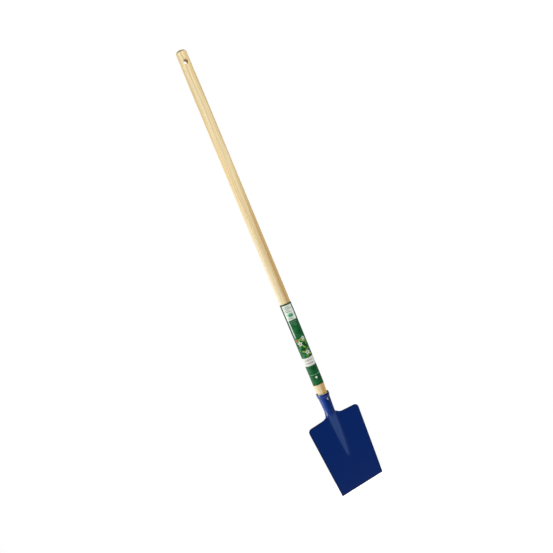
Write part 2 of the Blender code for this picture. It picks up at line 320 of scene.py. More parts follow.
def add_node(
    tree: Tree,
    kind: str,
    settings: dict[str, object] | None = None,
    values: dict[int | str, object] | None = None,
    links: dict[int | str, Source] | None = None,
) -> bpy.types.Node:
    """Add a node with its settings, its fixed inputs and its links.

    Args:
        tree: The node tree.
        kind: Blender's type name of the node, without the "ShaderNode" that it starts with.
        settings: Properties of the node by name.
        values: Fixed values of inputs by name or number.
        links: What feeds inputs, by name or number. A node gives its first output in use.

    Returns:
        The new node.
    """
    node = tree.nodes.new("ShaderNode" + kind)
    for name, value in (settings or {}).items():
        setattr(node, name, value)
    for name, value in (values or {}).items():
        node.inputs[name].default_value = value
    for name, source in (links or {}).items():
        if isinstance(source, bpy.types.Node):
            source = next(output for output in source.outputs if output.enabled)
        tree.links.new(source, node.inputs[name])
    return node


def new_material(name: str) -> tuple[Material, Tree]:
    """Make an empty material.

    Args:
        name: Name of the material.

    Returns:
        The material and its node tree.
    """
    material = bpy.data.materials.new(name)
    material.use_nodes = True
    material.node_tree.nodes.clear()
    return material, material.node_tree


def place_in_millimetres(tree: Tree, turn: float = 0.0) -> bpy.types.Node:
    """Give the place on the piece in millimetres, with heights above the cutting edge.

    Args:
        tree: The node tree.
        turn: Turn about the Z axis in radians, before the place is read.

    Returns:
        A node that gives the place as a vector.
    """
    place = add_node(tree, "TexCoord")
    values = {"Location": (0.0, 0.0, HOLE_HEIGHT), "Rotation": (0.0, 0.0, turn)}
    values["Scale"] = 3 * (1.0 / MILLIMETRE,)
    return add_node(tree, "Mapping", values=values, links={"Vector": place.outputs["Object"]})


@dataclass(frozen=True)
class Fade:
    """A share that changes along something measured, such as the height.

    Attributes:
        measure: What is measured.
        none: Where the share is least.
        full: Where the share is full.
        most: The full share.
        least: The least share.
        soft: Whether the change starts and ends gently.
    """

    measure: Source
    none: float
    full: float
    most: float = 1.0
    least: float = 0.0
    soft: bool = False


def cover_of(tree: Tree, fades: Sequence[Fade]) -> Source:
    """Multiply fades into one cover.

    Args:
        tree: The node tree.
        fades: At least one fade.

    Returns:
        What gives the product of their shares.
    """
    cover = None
    for fade in fades:
        style = {"interpolation_type": "SMOOTHSTEP" if fade.soft else "LINEAR"}
        values = {"From Min": fade.none, "From Max": fade.full, "To Min": fade.least, "To Max": fade.most}
        share = add_node(tree, "MapRange", style, values, {"Value": fade.measure})
        if cover is not None:
            share = add_node(tree, "Math", {"operation": "MULTIPLY"}, links={0: cover, 1: share})
        cover = share
    return cover


def lay_tone(
    tree: Tree, ground: str | Source, tone: str | Source, fades: Sequence[Fade], blend: str = "MIX"
) -> Source:
    """Lay a tone over a ground where every fade is full.

    Args:
        tree: The node tree.
        ground: The colour below, as an sRGB hex code or as what gives it.
        tone: The colour that is laid over it, in the same form.
        fades: Where and how strongly the tone shows.
        blend: Blender's name of the way that the two colours mix.

    Returns:
        What gives the mixed colour.
    """
    values = {}
    links = {0: cover_of(tree, fades)}
    for at, colour in ((MIX_GROUND, ground), (MIX_TONE, tone)):
        if isinstance(colour, str):
            values[at] = linear_colour(colour)
        else:
            links[at] = colour
    return add_node(tree, "Mix", {"data_type": "RGBA", "blend_type": blend}, values, links)


@dataclass(frozen=True)
class Surface:
    """The feel of a surface: how rough it is and how deep its fine relief goes.

    Attributes:
        smoothest: Its least roughness.
        roughest: Its greatest roughness.
        relief: Strength of the relief, from 0 to 1.
        depth: Depth of the relief in millimetres.
    """

    smoothest: float
    roughest: float
    relief: float
    depth: float

    def give(
        self, tree: Tree, colour: Source, patches: Source, grain: Source, values: dict[str, float]
    ) -> None:
        """End a material in one shader that has this surface.

        Args:
            tree: The node tree.
            colour: The colour.
            patches: A pattern from 0 to 1 that the roughness follows.
            grain: A pattern from 0 to 1 that the relief follows.
            values: Other fixed inputs of the shader.
        """
        rough = {"To Min": self.smoothest, "To Max": self.roughest}
        deep = {"Strength": self.relief, "Distance": self.depth * MILLIMETRE}
        links = {
            "Base Color": colour,
            "Roughness": add_node(tree, "MapRange", values=rough, links={"Value": patches}),
            "Normal": add_node(tree, "Bump", values=deep, links={"Height": grain}),
        }
        shader = add_node(tree, "BsdfPrincipled", values=values, links=links)
        add_node(tree, "OutputMaterial", links={"Surface": shader})


@dataclass(frozen=True)
class GrainAndShadeStripe:
    """One long stripe along the stick. Most are growth rings that come to the surface; a broad one is
    painted shade.

    Attributes:
        low_aside: Its middle at its lower end, in millimetres right of the axis.
        high_aside: Its middle at its upper end.
        half_width: Half width in millimetres.
        low: Height in millimetres above the cutting edge from which it fades downwards.
        high: Height from which it fades upwards.
        tone: sRGB hex code.
        cover: How strongly it shows, from 0 to 1.
    """

    low_aside: float
    high_aside: float
    half_width: float
    low: float
    high: float
    tone: str
    cover: float

    @property
    def lean(self) -> float:
        """Millimetres that the stripe goes right for each millimetre of height."""
        return (self.high_aside - self.low_aside) / (self.high - self.low)


@dataclass(frozen=True)
class LightWood:
    """Turned and sanded light softwood under a thin coat of clear varnish.

    It gives the eye a pale straw colour with long darker streaks along the stick, a
    soft sheen, a slightly darker grip, dark cut grain on the dome, brown cut grain with
    painted shade in the hole, painted shade along the right side, and a painted sheen on the
    left side of the lower half.
    Places are in millimetres, right of the axis or above the cutting edge.
    """

    name: str = "turned_light_wood"
    pale: str = "#F4E2B6"
    straw: str = "#EED39B"
    streak: str = "#DFCBA4"
    painted_right_shade: str = "#DDBA7E"
    painted_right_shade_foot: str = "#E7C07B"
    painted_left_sheen: str = "#F0E2BE"
    darker_grip: str = "#EDEDE8"
    end_grain: str = "#6F623C"
    bore_grain_and_shade: str = "#CFA34C"
    varnish_ior: float = 1.5
    surface: Surface = Surface(0.44, 0.62, 0.35, 0.06)
    streak_width: float = 3.6
    streak_change: Pair = (0.4, 0.6)
    fibre_width: float = 2.6
    fibre_start: Triple = (7.0, 3.0, 11.0)
    fibre_change: Pair = (0.42, 0.62)
    fibre_cover: float = 0.5
    grain_turn: Triple = (0.012, 0.02, 0.0)
    grain_stretch: Triple = (1.0, 1.0, 0.007)
    waver_length: float = 55.5556
    stripe_waver: float = 3.2
    stripe_fade: float = 70.0
    stripe_blur: float = 0.7
    stripes: tuple[GrainAndShadeStripe, ...] = (
        # The first stripe, broad and darker on the right side of the upper part, is painted shade
        GrainAndShadeStripe(12.0, 12.0, 8.2, 640.0, 1000.0, "#CDB37A", 0.45),
        GrainAndShadeStripe(-5.0, -5.4, 0.9, 740.0, 980.0, "#CBB178", 0.45),
        GrainAndShadeStripe(-0.3, -1.7, 1.6, 750.0, 970.0, "#F8EAC8", 0.6),
        GrainAndShadeStripe(-8.4, -9.0, 1.1, 840.0, 1000.0, "#F8EAC8", 0.7),
        GrainAndShadeStripe(-5.8, -5.4, 1.2, 560.0, 650.0, "#CFB27A", 0.3),
        GrainAndShadeStripe(0.6, 1.6, 0.9, 400.0, 640.0, "#B98F55", 0.5),
    )
    band_lean: float = 0.018
    band_upright: float = 450.0
    band_side: Pair = (-14.8, -11.0)
    band_end: Pair = (740.0, 600.0)
    band_foot: Pair = (246.0, 236.0)
    sheen_side: Pair = (-8.3, -11.3)
    sheen_end: Pair = (660.0, 520.0)
    sheen_foot: Pair = (300.0, 420.0)
    grip: Pair = (720.0, 900.0)
    dome: Pair = (979.0, 981.5)
    pore_width: float = 0.714286
    pore_change: Pair = (0.3, 0.7)
    pore_least: float = 0.75
    hole_turn: float = 16.0
    hole_rim: Pair = (5.4, 4.6)
    hole_cover: float = 0.8

    def dress(self) -> Material:
        """Build the material.

        Returns:
            The wood.
        """
        material, tree = new_material(self.name)
        place = place_in_millimetres(tree)
        apart = add_node(tree, "SeparateXYZ", links={"Vector": place})
        across, height = apart.outputs["X"], apart.outputs["Z"]
        slow = {"Scale": 1.0 / self.waver_length, "Detail": 2.0}
        waver = add_node(tree, "TexNoise", {"noise_dimensions": "1D"}, slow, {"W": height})
        streaky = {"Scale": 1.0 / self.streak_width, "Detail": 3.0, "Roughness": 0.55}
        broad = self.grain(tree, place, streaky)
        # Fibres and pores are about 0.1 mm wide in such wood; they are drawn coarser to show
        fine = {"Scale": 1.0 / self.fibre_width, "Detail": 2.0, "Roughness": 0.5}
        fibre = self.grain(tree, place, fine, self.fibre_start)
        porous = {"Scale": 1.0 / self.pore_width, "Detail": 2.0, "Roughness": 0.6}
        pores = add_node(tree, "TexNoise", values=porous, links={"Vector": place})

        wood = lay_tone(tree, self.pale, self.straw, [Fade(broad, *self.streak_change)])
        # Painted shade lies as a darker band along the right side of the lower half, and runs out upwards
        band = lay_tone(tree, self.painted_right_shade, self.painted_right_shade_foot, [Fade(height, *self.band_foot)])
        wood = lay_tone(tree, wood, band, self.shade_band_fades(tree, across, height, waver))
        # Painted sheen pales the left side of the lower half
        sheen_fades = [Fade(across, *self.sheen_side, soft=True), Fade(height, *self.sheen_end)]
        wood = lay_tone(tree, wood, self.painted_left_sheen, [*sheen_fades, Fade(height, *self.sheen_foot)])
        for stripe in self.stripes:
            wood = lay_tone(tree, wood, stripe.tone, self.stripe_fades(tree, across, height, waver, stripe))
        fibres = [Fade(fibre, *self.fibre_change, self.fibre_cover)]
        wood = lay_tone(tree, wood, self.streak, fibres, "MULTIPLY")
        # The upper end is made a little darker and greyer
        wood = lay_tone(tree, wood, self.darker_grip, [Fade(height, *self.grip)], "MULTIPLY")
        # The bored and countersunk hole is brown: its cut grain, with painted shade on the walls of the
        # bore
        wood = lay_tone(tree, wood, self.bore_grain_and_shade, [self.hole_fade(tree)])
        # The dome cuts the fibres across, so it drinks more varnish and looks darker
        end = [Fade(height, *self.dome), Fade(pores, *self.pore_change, least=self.pore_least)]
        wood = lay_tone(tree, wood, self.end_grain, end)
        # Raised grain stands about 0.02 mm proud; the relief is drawn a little deeper to show
        self.surface.give(tree, wood, fibre, fibre, {"IOR": self.varnish_ior})
        return material

    def grain(
        self, tree: Tree, place: Source, values: dict[str, float], start: Triple = (0.0, 0.0, 0.0)
    ) -> bpy.types.Node:
        """Draw a pattern out along the stick at a slight slant, as the grain leaves a turned stick.

        Args:
            tree: The node tree.
            place: The place in millimetres.
            values: The pattern's scale across the stick, its detail and its roughness.
            start: Where in the endless pattern the piece lies.

        Returns:
            The pattern.
        """
        drawn = {"Location": start, "Rotation": self.grain_turn, "Scale": self.grain_stretch}
        slanted = add_node(tree, "Mapping", values=drawn, links={"Vector": place})
        return add_node(tree, "TexNoise", values=values, links={"Vector": slanted})

    def shade_band_fades(self, tree: Tree, across: Source, height: Source, waver: Source) -> list[Fade]:
        """Tell where the darker band of painted shade is.

        Args:
            tree: The node tree.
            across: The place right of the axis.
            height: The height above the cutting edge.
            waver: The slow sideways waver of the grain.

        Returns:
            The fades of its leaning side and of its upper end.
        """
        leaning = add_node(tree, "Math", {"operation": "MAXIMUM"}, {1: self.band_upright}, {0: height})
        side = across
        for slope, rise in ((-self.band_lean, leaning), (-self.stripe_waver, waver)):
            side = add_node(tree, "Math", {"operation": "MULTIPLY_ADD"}, {1: slope}, {0: rise, 2: side})
        return [Fade(side, *self.band_side, soft=True), Fade(height, *self.band_end)]

    def stripe_fades(
        self, tree: Tree, across: Source, height: Source, waver: Source, stripe: GrainAndShadeStripe
    ) -> list[Fade]:
        """Tell where a stripe is.

        Args:
            tree: The node tree.
            across: The place right of the axis.
            height: The height above the cutting edge.
            waver: The slow sideways waver of the grain, about 0.5.
            stripe: The stripe.

        Returns:
            The fades of its sides, its lower end and its upper end.
        """
        base = stripe.low_aside - stripe.lean * stripe.low - 0.5 * self.stripe_waver
        line = {1: stripe.lean, 2: base}
        straight = add_node(tree, "Math", {"operation": "MULTIPLY_ADD"}, line, {0: height})
        sway = {1: self.stripe_waver}
        middle = add_node(tree, "Math", {"operation": "MULTIPLY_ADD"}, sway, {0: waver, 2: straight})
        offset = add_node(tree, "Math", {"operation": "SUBTRACT"}, links={0: across, 1: middle})
        beside = add_node(tree, "Math", {"operation": "ABSOLUTE"}, links={0: offset})
        outer, inner = stripe.half_width + self.stripe_blur, stripe.half_width - self.stripe_blur
        return [
            Fade(beside, outer, inner, stripe.cover),
            Fade(height, stripe.low - self.stripe_fade, stripe.low),
            Fade(height, stripe.high + self.stripe_fade, stripe.high),
        ]

    def hole_fade(self, tree: Tree) -> Fade:
        """Tell where the wood is cut by the hanging hole.

        Args:
            tree: The node tree.

        Returns:
            The fade of its rim, along the distance from its axis.
        """
        turned = place_in_millimetres(tree, math.radians(self.hole_turn))
        apart = add_node(tree, "SeparateXYZ", links={"Vector": turned})
        height = apart.outputs["Z"]
        rise = add_node(tree, "Math", {"operation": "SUBTRACT"}, {1: HOLE_HEIGHT}, {0: height})
        beside = add_node(tree, "CombineXYZ", links={"X": apart.outputs["X"], "Y": rise})
        distance = add_node(tree, "VectorMath", {"operation": "LENGTH"}, links={0: beside})
        return Fade(distance, *self.hole_rim, self.hole_cover)


@dataclass(frozen=True)
class BlueEnamel:
    """Dark blue stoving enamel, sprayed on pressed steel and baked.

    It gives the eye a deep even navy blue with a clear gloss, a faint ripple of the
    sprayed coat, a painted highlight on the crest of the rib, a darker line along the rim,
    painted light as a brighter blue on the left side of the socket and a grey lip at its mouth.
    """

    name: str = "navy_stoving_enamel"
    coat: str = "#002971"
    cloudy_coat: str = "#042E78"
    painted_crest_highlight: str = "#304E8D"
    rim_coat: str = "#041D4C"
    painted_socket_light: str = "#083C92"
    grey_lip: str = "#5C5E55"
    enamel_ior: float = 1.5
    surface: Surface = Surface(0.16, 0.28, 0.25, 0.05)
    cloud_width: float = 28.5714
    cloud_change: Pair = (0.3, 0.7)
    cloud_cover: float = 0.12
    speck_width: float = 0.625
    ripple_width: float = 5.0
    rib_top: float = 160.8
    rib_foot: float = 63.8
    crest_half_width: float = 8.0
    tip_half_width: float = 1.2
    crest_narrowing: float = 1.8
    crest_aside: float = 3.0
    crest_blur: float = 2.6
    crest_top: Pair = (172.8, 156.8)
    crest_foot: Pair = (63.8, 75.8)
    crest_facing: Pair = (-0.2, -0.5)
    blade_tip_half_width: float = 55.5
    blade_spread: float = 0.0757
    shoulder_slope: float = 0.0515
    rim_line: Pair = (2.8, 1.6)
    rim_cover: float = 0.8
    wing: Pair = (26.0, 34.0)
    blade_tip: Pair = (10.0, 6.0)
    socket_side: Pair = (-1.0, -10.0)
    socket_foot: Pair = (160.8, 176.8)
    lip: Pair = (206.5, 207.5)
    lip_facing: Pair = (0.35, 0.7)
    lip_cover: float = 0.85

    def dress(self) -> Material:
        """Build the material.

        Returns:
            The enamel.
        """
        material, tree = new_material(self.name)
        place = place_in_millimetres(tree)
        apart = add_node(tree, "SeparateXYZ", links={"Vector": place})
        across, height = apart.outputs["X"], apart.outputs["Z"]
        facing = add_node(tree, "TexCoord").outputs["Normal"]
        normal = add_node(tree, "SeparateXYZ", links={"Vector": facing})
        forward, upward = normal.outputs["Y"], normal.outputs["Z"]
        # The sprayed coat levels out to a ripple some millimetres long and 0.01 mm high
        patterns = []
        for width, detail in ((self.cloud_width, 2.0), (self.speck_width, 2.0), (self.ripple_width, 1.0)):
            spread = {"Scale": 1.0 / width, "Detail": detail}
            patterns.append(add_node(tree, "TexNoise", values=spread, links={"Vector": place}))
        cloud, speck, ripple = patterns

        clouds = [Fade(cloud, *self.cloud_change, self.cloud_cover)]
        coat = lay_tone(tree, self.coat, self.cloudy_coat, clouds)
        # A paler blue on the crest of the rib that stands out in front is a painted highlight
        crest = [*self.crest_fades(tree, across, height), Fade(forward, *self.crest_facing)]
        coat = lay_tone(tree, coat, self.painted_crest_highlight, crest)
        coat = lay_tone(tree, coat, self.rim_coat, self.rim_fades(tree, across, height))
        # Painted light makes the rolled socket a brighter blue on its left side
        socket = [Fade(across, *self.socket_side, soft=True), Fade(height, *self.socket_foot, soft=True)]
        coat = lay_tone(tree, coat, self.painted_socket_light, socket)
        # The socket's mouth is grey where it faces up
        lip = [Fade(upward, *self.lip_facing, self.lip_cover), Fade(height, *self.lip)]
        coat = lay_tone(tree, coat, self.grey_lip, lip)
        self.surface.give(tree, coat, speck, ripple, {"IOR": self.enamel_ior})
        return material

    def crest_fades(self, tree: Tree, across: Source, height: Source) -> list[Fade]:
        """Tell where the crest of the rib is, which narrows to the rib's tip.

        Args:
            tree: The node tree.
            across: The place right of the axis.
            height: The height above the cutting edge.

        Returns:
            The fades of its sides, of its upper end at the socket and of its tip.
        """
        ends = {"From Min": self.rib_top, "From Max": self.rib_foot}
        down = add_node(tree, "MapRange", values=ends, links={"Value": height})
        power = {1: self.crest_narrowing}
        narrowing = add_node(tree, "Math", {"operation": "POWER"}, power, {0: down})
        widths = {"To Min": self.crest_half_width, "To Max": self.tip_half_width}
        half_width = add_node(tree, "MapRange", values=widths, links={"Value": narrowing})
        shifted = add_node(tree, "Math", {"operation": "ADD"}, {1: self.crest_aside}, {0: across})
        beside = add_node(tree, "Math", {"operation": "ABSOLUTE"}, links={0: shifted})
        inside = add_node(tree, "Math", {"operation": "SUBTRACT"}, links={0: half_width, 1: beside})
        return [
            Fade(inside, -self.crest_blur, self.crest_blur, soft=True),
            Fade(height, *self.crest_top, soft=True),
            Fade(height, *self.crest_foot, soft=True),
        ]

    def rim_fades(self, tree: Tree, across: Source, height: Source) -> list[Fade]:
        """Tell where the blade's rim is, along which the coat is darker.

        Args:
            tree: The node tree.
            across: The place right of the axis.
            height: The height above the cutting edge.

        Returns:
            The fade of the line along the rim, and that of the wings and the tip, which have it.
        """
        beside = add_node(tree, "Math", {"operation": "ABSOLUTE"}, links={0: across})
        nearest = height
        lines = (
            (self.blade_spread, self.blade_tip_half_width, height, beside),
            (-self.shoulder_slope, self.rib_top, beside, height),
        )
        for slope, start, along_line, towards_line in lines:
            line = {1: slope, 2: start}
            edge = add_node(tree, "Math", {"operation": "MULTIPLY_ADD"}, line, {0: along_line})
            away = add_node(tree, "Math", {"operation": "SUBTRACT"}, links={0: edge, 1: towards_line})
            nearest = add_node(tree, "Math", {"operation": "MINIMUM"}, links={0: nearest, 1: away})
        wing = cover_of(tree, [Fade(beside, *self.wing)])
        tip = cover_of(tree, [Fade(height, *self.blade_tip)])
        outer = add_node(tree, "Math", {"operation": "MAXIMUM"}, links={0: wing, 1: tip})
        return [Fade(nearest, *self.rim_line, self.rim_cover), Fade(outer, 0.0, 1.0)]


@dataclass(frozen=True)
class BrightSteel:
    """Nickel-plated steel with a slightly hammered head.

    It gives the eye a small bright metal dome with a patchy, broken light on it.
    """

    name: str = "bright_plated_steel"
    bright: str = "#D6DDF0"
    dull: str = "#B6BFD8"
    surface: Surface = Surface(0.18, 0.34, 0.4, 0.08)
    hammer_width: float = 0.454545

    def dress(self) -> Material:
        """Build the material.

        Returns:
            The steel.
        """
        material, tree = new_material(self.name)
        place = place_in_millimetres(tree)
        hammered = {"Scale": 1.0 / self.hammer_width, "Detail": 2.0}
        marks = add_node(tree, "TexNoise", values=hammered, links={"Vector": place})
        tone = lay_tone(tree, self.bright, self.dull, [Fade(marks, 0.0, 1.0)])
        self.surface.give(tree, tone, marks, marks, {"Metallic": 1.0})
        return material


class Mark(Enum):
    """Shapes of the marks that the label is printed with."""

    BLOCK = "block"
    OVAL = "oval"


@dataclass(frozen=True)
class PrintedMark:
    """One printed mark of the label, placed on the unrolled film.

    Attributes:
        shape: Block or oval.
        across: Middle, in millimetres round the label, right of the middle of its front.
        height: Middle, in millimetres above the cutting edge.
        half_width: Half width in millimetres.
        half_height: Half height in millimetres.
        ink: sRGB hex code.
        cover: How much of the ground the ink covers, from 0 to 1.
        soft: Width of the mark's soft edge, as a share of its half size.
        turn: Turn on the film in degrees.
        curved: Whether it rises towards both sides of the front.
    """

    shape: Mark
    across: float
    height: float
    half_width: float
    half_height: float
    ink: str
    cover: float = 1.0
    soft: float = 0.08
    turn: float = 0.0
    curved: bool = False

    def reach(self, tree: Tree, film: Source) -> Source:
        """Tell how far a place is from the mark's middle, where 1 is the mark's edge.

        Args:
            tree: The node tree.
            film: The place on the unrolled film in millimetres.

        Returns:
            What gives the distance.
        """
        values = {"Location": (self.across, self.height, 0.0)}
        values["Rotation"] = (0.0, 0.0, math.radians(self.turn))
        values["Scale"] = (self.half_width, self.half_height, 1.0)
        turned = add_node(tree, "Mapping", {"vector_type": "TEXTURE"}, values, {"Vector": film})
        if self.shape is Mark.OVAL:
            return add_node(tree, "VectorMath", {"operation": "LENGTH"}, links={0: turned})
        size = add_node(tree, "VectorMath", {"operation": "ABSOLUTE"}, links={0: turned})
        sides = add_node(tree, "SeparateXYZ", links={"Vector": size}).outputs
        return add_node(tree, "Math", {"operation": "MAXIMUM"}, links={0: sides["X"], 1: sides["Y"]})


@dataclass(frozen=True)
class PrintedFilm:
    """Polypropylene film printed in offset inks, wrapped tight and glossy.

    It gives the eye a saturated dark green with a pale panel, a picture of leaves and
    blossoms and a white band, under a smooth gloss with faint wrap lines. Blank bars and a
    plain disc fill the panel.
    """

    name: str = "printed_label_film"
    green: str = "#1D6134"
    dark_green: str = "#12401F"
    shade_green: str = "#134A26"
    shine_green: str = "#2C7F4C"
    leaf_green: str = "#5F9A3C"
    young_green: str = "#8DB64C"
    sea_green: str = "#2F8A62"
    pale_green: str = "#7FA98C"
    line_green: str = "#9CC4A2"
    disc_green: str = "#80C8A2"
    picture_green: str = "#206433"
    shadow_green: str = "#0D3318"
    dot_green: str = "#08200F"
    white: str = "#E8E8E0"
    panel_and_highlight_white: str = "#ECF3E7"
    chip_white: str = "#F4F4EE"
    dot_white: str = "#F6F6F0"
    grey: str = "#8B958D"
    bar_brown: str = "#6E5A52"
    seed_brown: str = "#4A3A20"
    pink: str = "#D9697A"
    film_ior: float = 1.49
    gloss: float = 0.14
    surface: Surface = Surface(0.35, 0.5, 0.3, 0.12)
    wrap_width: float = 2.85714
    wrap_length: float = 33.3333
    front_turn: float = 27.541
    radius: float = 12.2
    curve: float = 1.7
    all_round: float = 60.0

    def marks(self) -> list[PrintedMark]:
        """List the printed marks from the ground up; later ones are printed over earlier ones."""
        return [*self.ground_marks(), *self.panel_marks(), *self.picture_marks(), *self.band_marks()]

    def ground_marks(self) -> list[PrintedMark]:
        """List the green ground's dark borders, clouds with painted light and shade, a painted
        highlight strip, pale lines, and the seam at the back with its painted shadow.

        Returns:
            The marks.
        """
        block = Mark.BLOCK
        seam = math.pi * self.radius
        # The clouds mottle the print and are painted light and shade: shine green towards the left, the
        # darker greens towards the right
        clouds = (
            (-2.0, 361.0, 6.0, 3.4, self.shine_green, 0.45, 50.0),
            (6.0, 355.0, 3.2, 8.0, self.shade_green, 0.6, -15.0),
            (1.0, 348.0, 6.5, 2.6, self.shine_green, 0.5, -35.0),
            (-6.5, 268.0, 4.0, 5.0, self.shine_green, 0.4, 25.0),
            (5.0, 271.0, 7.0, 4.0, self.dark_green, 0.6, -15.0),
            (9.5, 246.0, 4.0, 7.0, self.dark_green, 0.55, 10.0),
            (-4.0, 242.0, 5.0, 3.0, self.shine_green, 0.35, -20.0),
        )
        lines = ((2.0, 379.3, 6.5, 0.5), (0.5, 375.6, 5.0, 0.5), (3.0, 372.0, 3.5, 0.45))
        printed = [
            PrintedMark(block, 0.0, 418.4, self.all_round, 1.9, self.dark_green, 0.9),
            PrintedMark(block, -14.6, 357.0, 3.5, 60.5, self.dark_green, 0.7),
            PrintedMark(block, 15.2, 357.0, 3.4, 60.5, self.dark_green, 0.85),
        ]
        for *place, ink, cover, turn in clouds:
            printed.append(PrintedMark(Mark.OVAL, *place, ink, cover, 0.5, turn))
        # The pale strip on the left of the front is a painted highlight of the glossy film
        printed.append(PrintedMark(block, -9.0, 363.0, 1.5, 21.0, self.panel_and_highlight_white, 0.75, 0.35))
        for across, height, half_width, cover in lines:
            printed.append(PrintedMark(block, across, height, half_width, 0.8, self.pale_green, cover, 0.3))
        printed.append(PrintedMark(block, seam - 0.4, 327.2, 0.4, 92.5, self.leaf_green, 0.5))
        # The dark line beside the seam is a painted shadow of the overlapping film
        printed.append(PrintedMark(block, -seam + 0.5, 327.2, 0.5, 92.5, self.dark_green, 0.9))
        return printed

    def panel_marks(self) -> list[PrintedMark]:
        """List the pale panel with its blank bars and its plain disc.

        Returns:
            The marks.
        """
        block = Mark.BLOCK
        oval = Mark.OVAL
        lines = ((-1.5, 412.2, 6.2), (1.0, 408.8, 7.6), (-2.6, 405.4, 4.6), (-0.4, 402.0, 6.6))
        printed = [PrintedMark(block, 0.4, 400.0, 11.2, 16.5, self.panel_and_highlight_white)]
        for across, height, half_width in lines:
            printed.append(PrintedMark(block, across, height, half_width, 0.9, self.grey, 0.85, 0.3))
        printed += [
            PrintedMark(oval, 0.8, 393.9, 6.6, 4.8, self.disc_green, 0.95, 0.12),
            PrintedMark(oval, -0.4, 393.4, 2.0, 2.2, self.green, 0.75, 0.3),
            PrintedMark(oval, 3.8, 393.4, 1.9, 2.6, self.green, 0.75, 0.3, 25.0),
            PrintedMark(block, -1.5, 386.9, 5.4, 0.8, self.bar_brown, 0.85, 0.3, -8.0),
            PrintedMark(block, 7.6, 386.2, 2.4, 1.6, self.chip_white, 0.9, 0.3),
        ]
        return printed

    def picture_marks(self) -> list[PrintedMark]:
        """List the leaves and blossoms of the printed picture.

        Returns:
            The marks.
        """
        oval = Mark.OVAL
        shadows = [(-6.0, 328.0, 5.5, 3.0), (6.5, 325.0, 5.0, 3.5)]
        shadows += [(-3.0, 315.0, 6.0, 2.6), (6.0, 302.0, 6.0, 3.0)]
        leaves = (
            (-8.0, 333.0, 5.0, 2.0, -50.0, self.leaf_green),
            (-2.5, 338.0, 5.5, 1.8, 20.0, self.young_green),
            (5.5, 334.5, 5.0, 2.2, -25.0, self.young_green),
            (10.0, 328.5, 4.6, 1.8, 60.0, self.leaf_green),
            (-4.0, 325.0, 5.4, 2.0, 35.0, self.leaf_green),
            (2.5, 322.0, 4.6, 1.7, -60.0, self.young_green),
            (-9.0, 317.0, 4.8, 1.8, 70.0, self.sea_green),
            (7.5, 315.0, 5.4, 2.0, 15.0, self.leaf_green),
            (-1.5, 311.0, 5.2, 2.0, -30.0, self.young_green),
            (9.5, 305.0, 4.6, 1.8, -55.0, self.young_green),
            (-6.5, 302.5, 5.0, 2.2, 55.0, self.sea_green),
            (2.5, 301.5, 4.6, 1.8, 10.0, self.leaf_green),
            (26.0, 330.0, 6.0, 2.4, 40.0, self.leaf_green),
            (-26.0, 314.0, 6.0, 2.4, -40.0, self.leaf_green),
        )
        blossoms = (
            (-9.6, 338.5, 2.3, self.pink, 3),
            (7.0, 339.5, 2.8, self.white, 5),
            (-3.6, 329.6, 3.1, self.white, 5),
            (5.0, 308.0, 3.1, self.white, 5),
        )
        printed = [PrintedMark(Mark.BLOCK, 0.0, 320.5, self.all_round, 23.5, self.picture_green, 0.9)]
        printed += [PrintedMark(oval, *shadow, self.shadow_green, 0.9, 0.4, 15.0) for shadow in shadows]
        printed += [PrintedMark(oval, *place, ink, 0.95, 0.2, turn) for *place, turn, ink in leaves]
        for blossom in blossoms:
            printed += self.blossom(*blossom)
        return printed

    def blossom(
        self, across: float, height: float, size: float, ink: str, petals: int
    ) -> list[PrintedMark]:
        """List the petals and the dark middle of one blossom.

        Args:
            across: Its middle, in millimetres round the label.
            height: Its middle, in millimetres above the cutting edge.
            size: Reach of a petal's middle from the blossom's middle.
            ink: Colour of the petals.
            petals: How many petals it has.

        Returns:
            The marks.
        """
        oval = Mark.OVAL
        first_petal = 0.4
        length, width, middle = 0.75 * size, 0.5 * size, 0.45 * size
        printed = []
        for petal in range(petals):
            angle = 2.0 * math.pi * petal / petals + first_petal
            place = (across + size * math.cos(angle), height + size * math.sin(angle))
            printed.append(PrintedMark(oval, *place, length, width, ink, 0.95, 0.2, math.degrees(angle)))
        printed.append(PrintedMark(oval, across, height, middle, middle, self.seed_brown, 0.9, 0.3))
        return printed

    def band_marks(self) -> list[PrintedMark]:
        """List the white band with its two grey lines, the thin line and the small dot below.

        Returns:
            The marks.
        """
        block = Mark.BLOCK
        oval = Mark.OVAL
        return [
            PrintedMark(block, 0.0, 287.4, self.all_round, 9.2, self.white, curved=True),
            PrintedMark(block, 0.5, 291.0, 9.0, 0.9, self.grey, 0.7, 0.3, curved=True),
            PrintedMark(block, 0.0, 284.0, 9.5, 0.9, self.grey, 0.9, 0.3, curved=True),
            PrintedMark(block, 0.0, 257.6, self.all_round, 0.5, self.line_green, 0.7, curved=True),
            PrintedMark(oval, 4.6, 250.6, 1.6, 2.2, self.dot_green, 0.95, 0.3),
            PrintedMark(oval, 1.5, 251.3, 2.4, 2.3, self.dot_white, 1.0, 0.2),
            PrintedMark(block, 0.0, 235.0, self.all_round, 0.5, self.dark_green, 0.8),
        ]

    def dress(self) -> Material:
        """Build the material.

        Returns:
            The film.
        """
        material, tree = new_material(self.name)
        place = place_in_millimetres(tree, math.radians(self.front_turn))
        apart = add_node(tree, "SeparateXYZ", links={"Vector": place}).outputs
        depth = add_node(tree, "Math", {"operation": "MULTIPLY"}, {1: -1.0}, {0: apart["Y"]})
        angle = add_node(tree, "Math", {"operation": "ARCTAN2"}, links={0: apart["X"], 1: depth})
        across = add_node(tree, "Math", {"operation": "MULTIPLY"}, {1: self.radius}, {0: angle})
        film = add_node(tree, "CombineXYZ", links={"X": across, "Y": apart["Z"]})
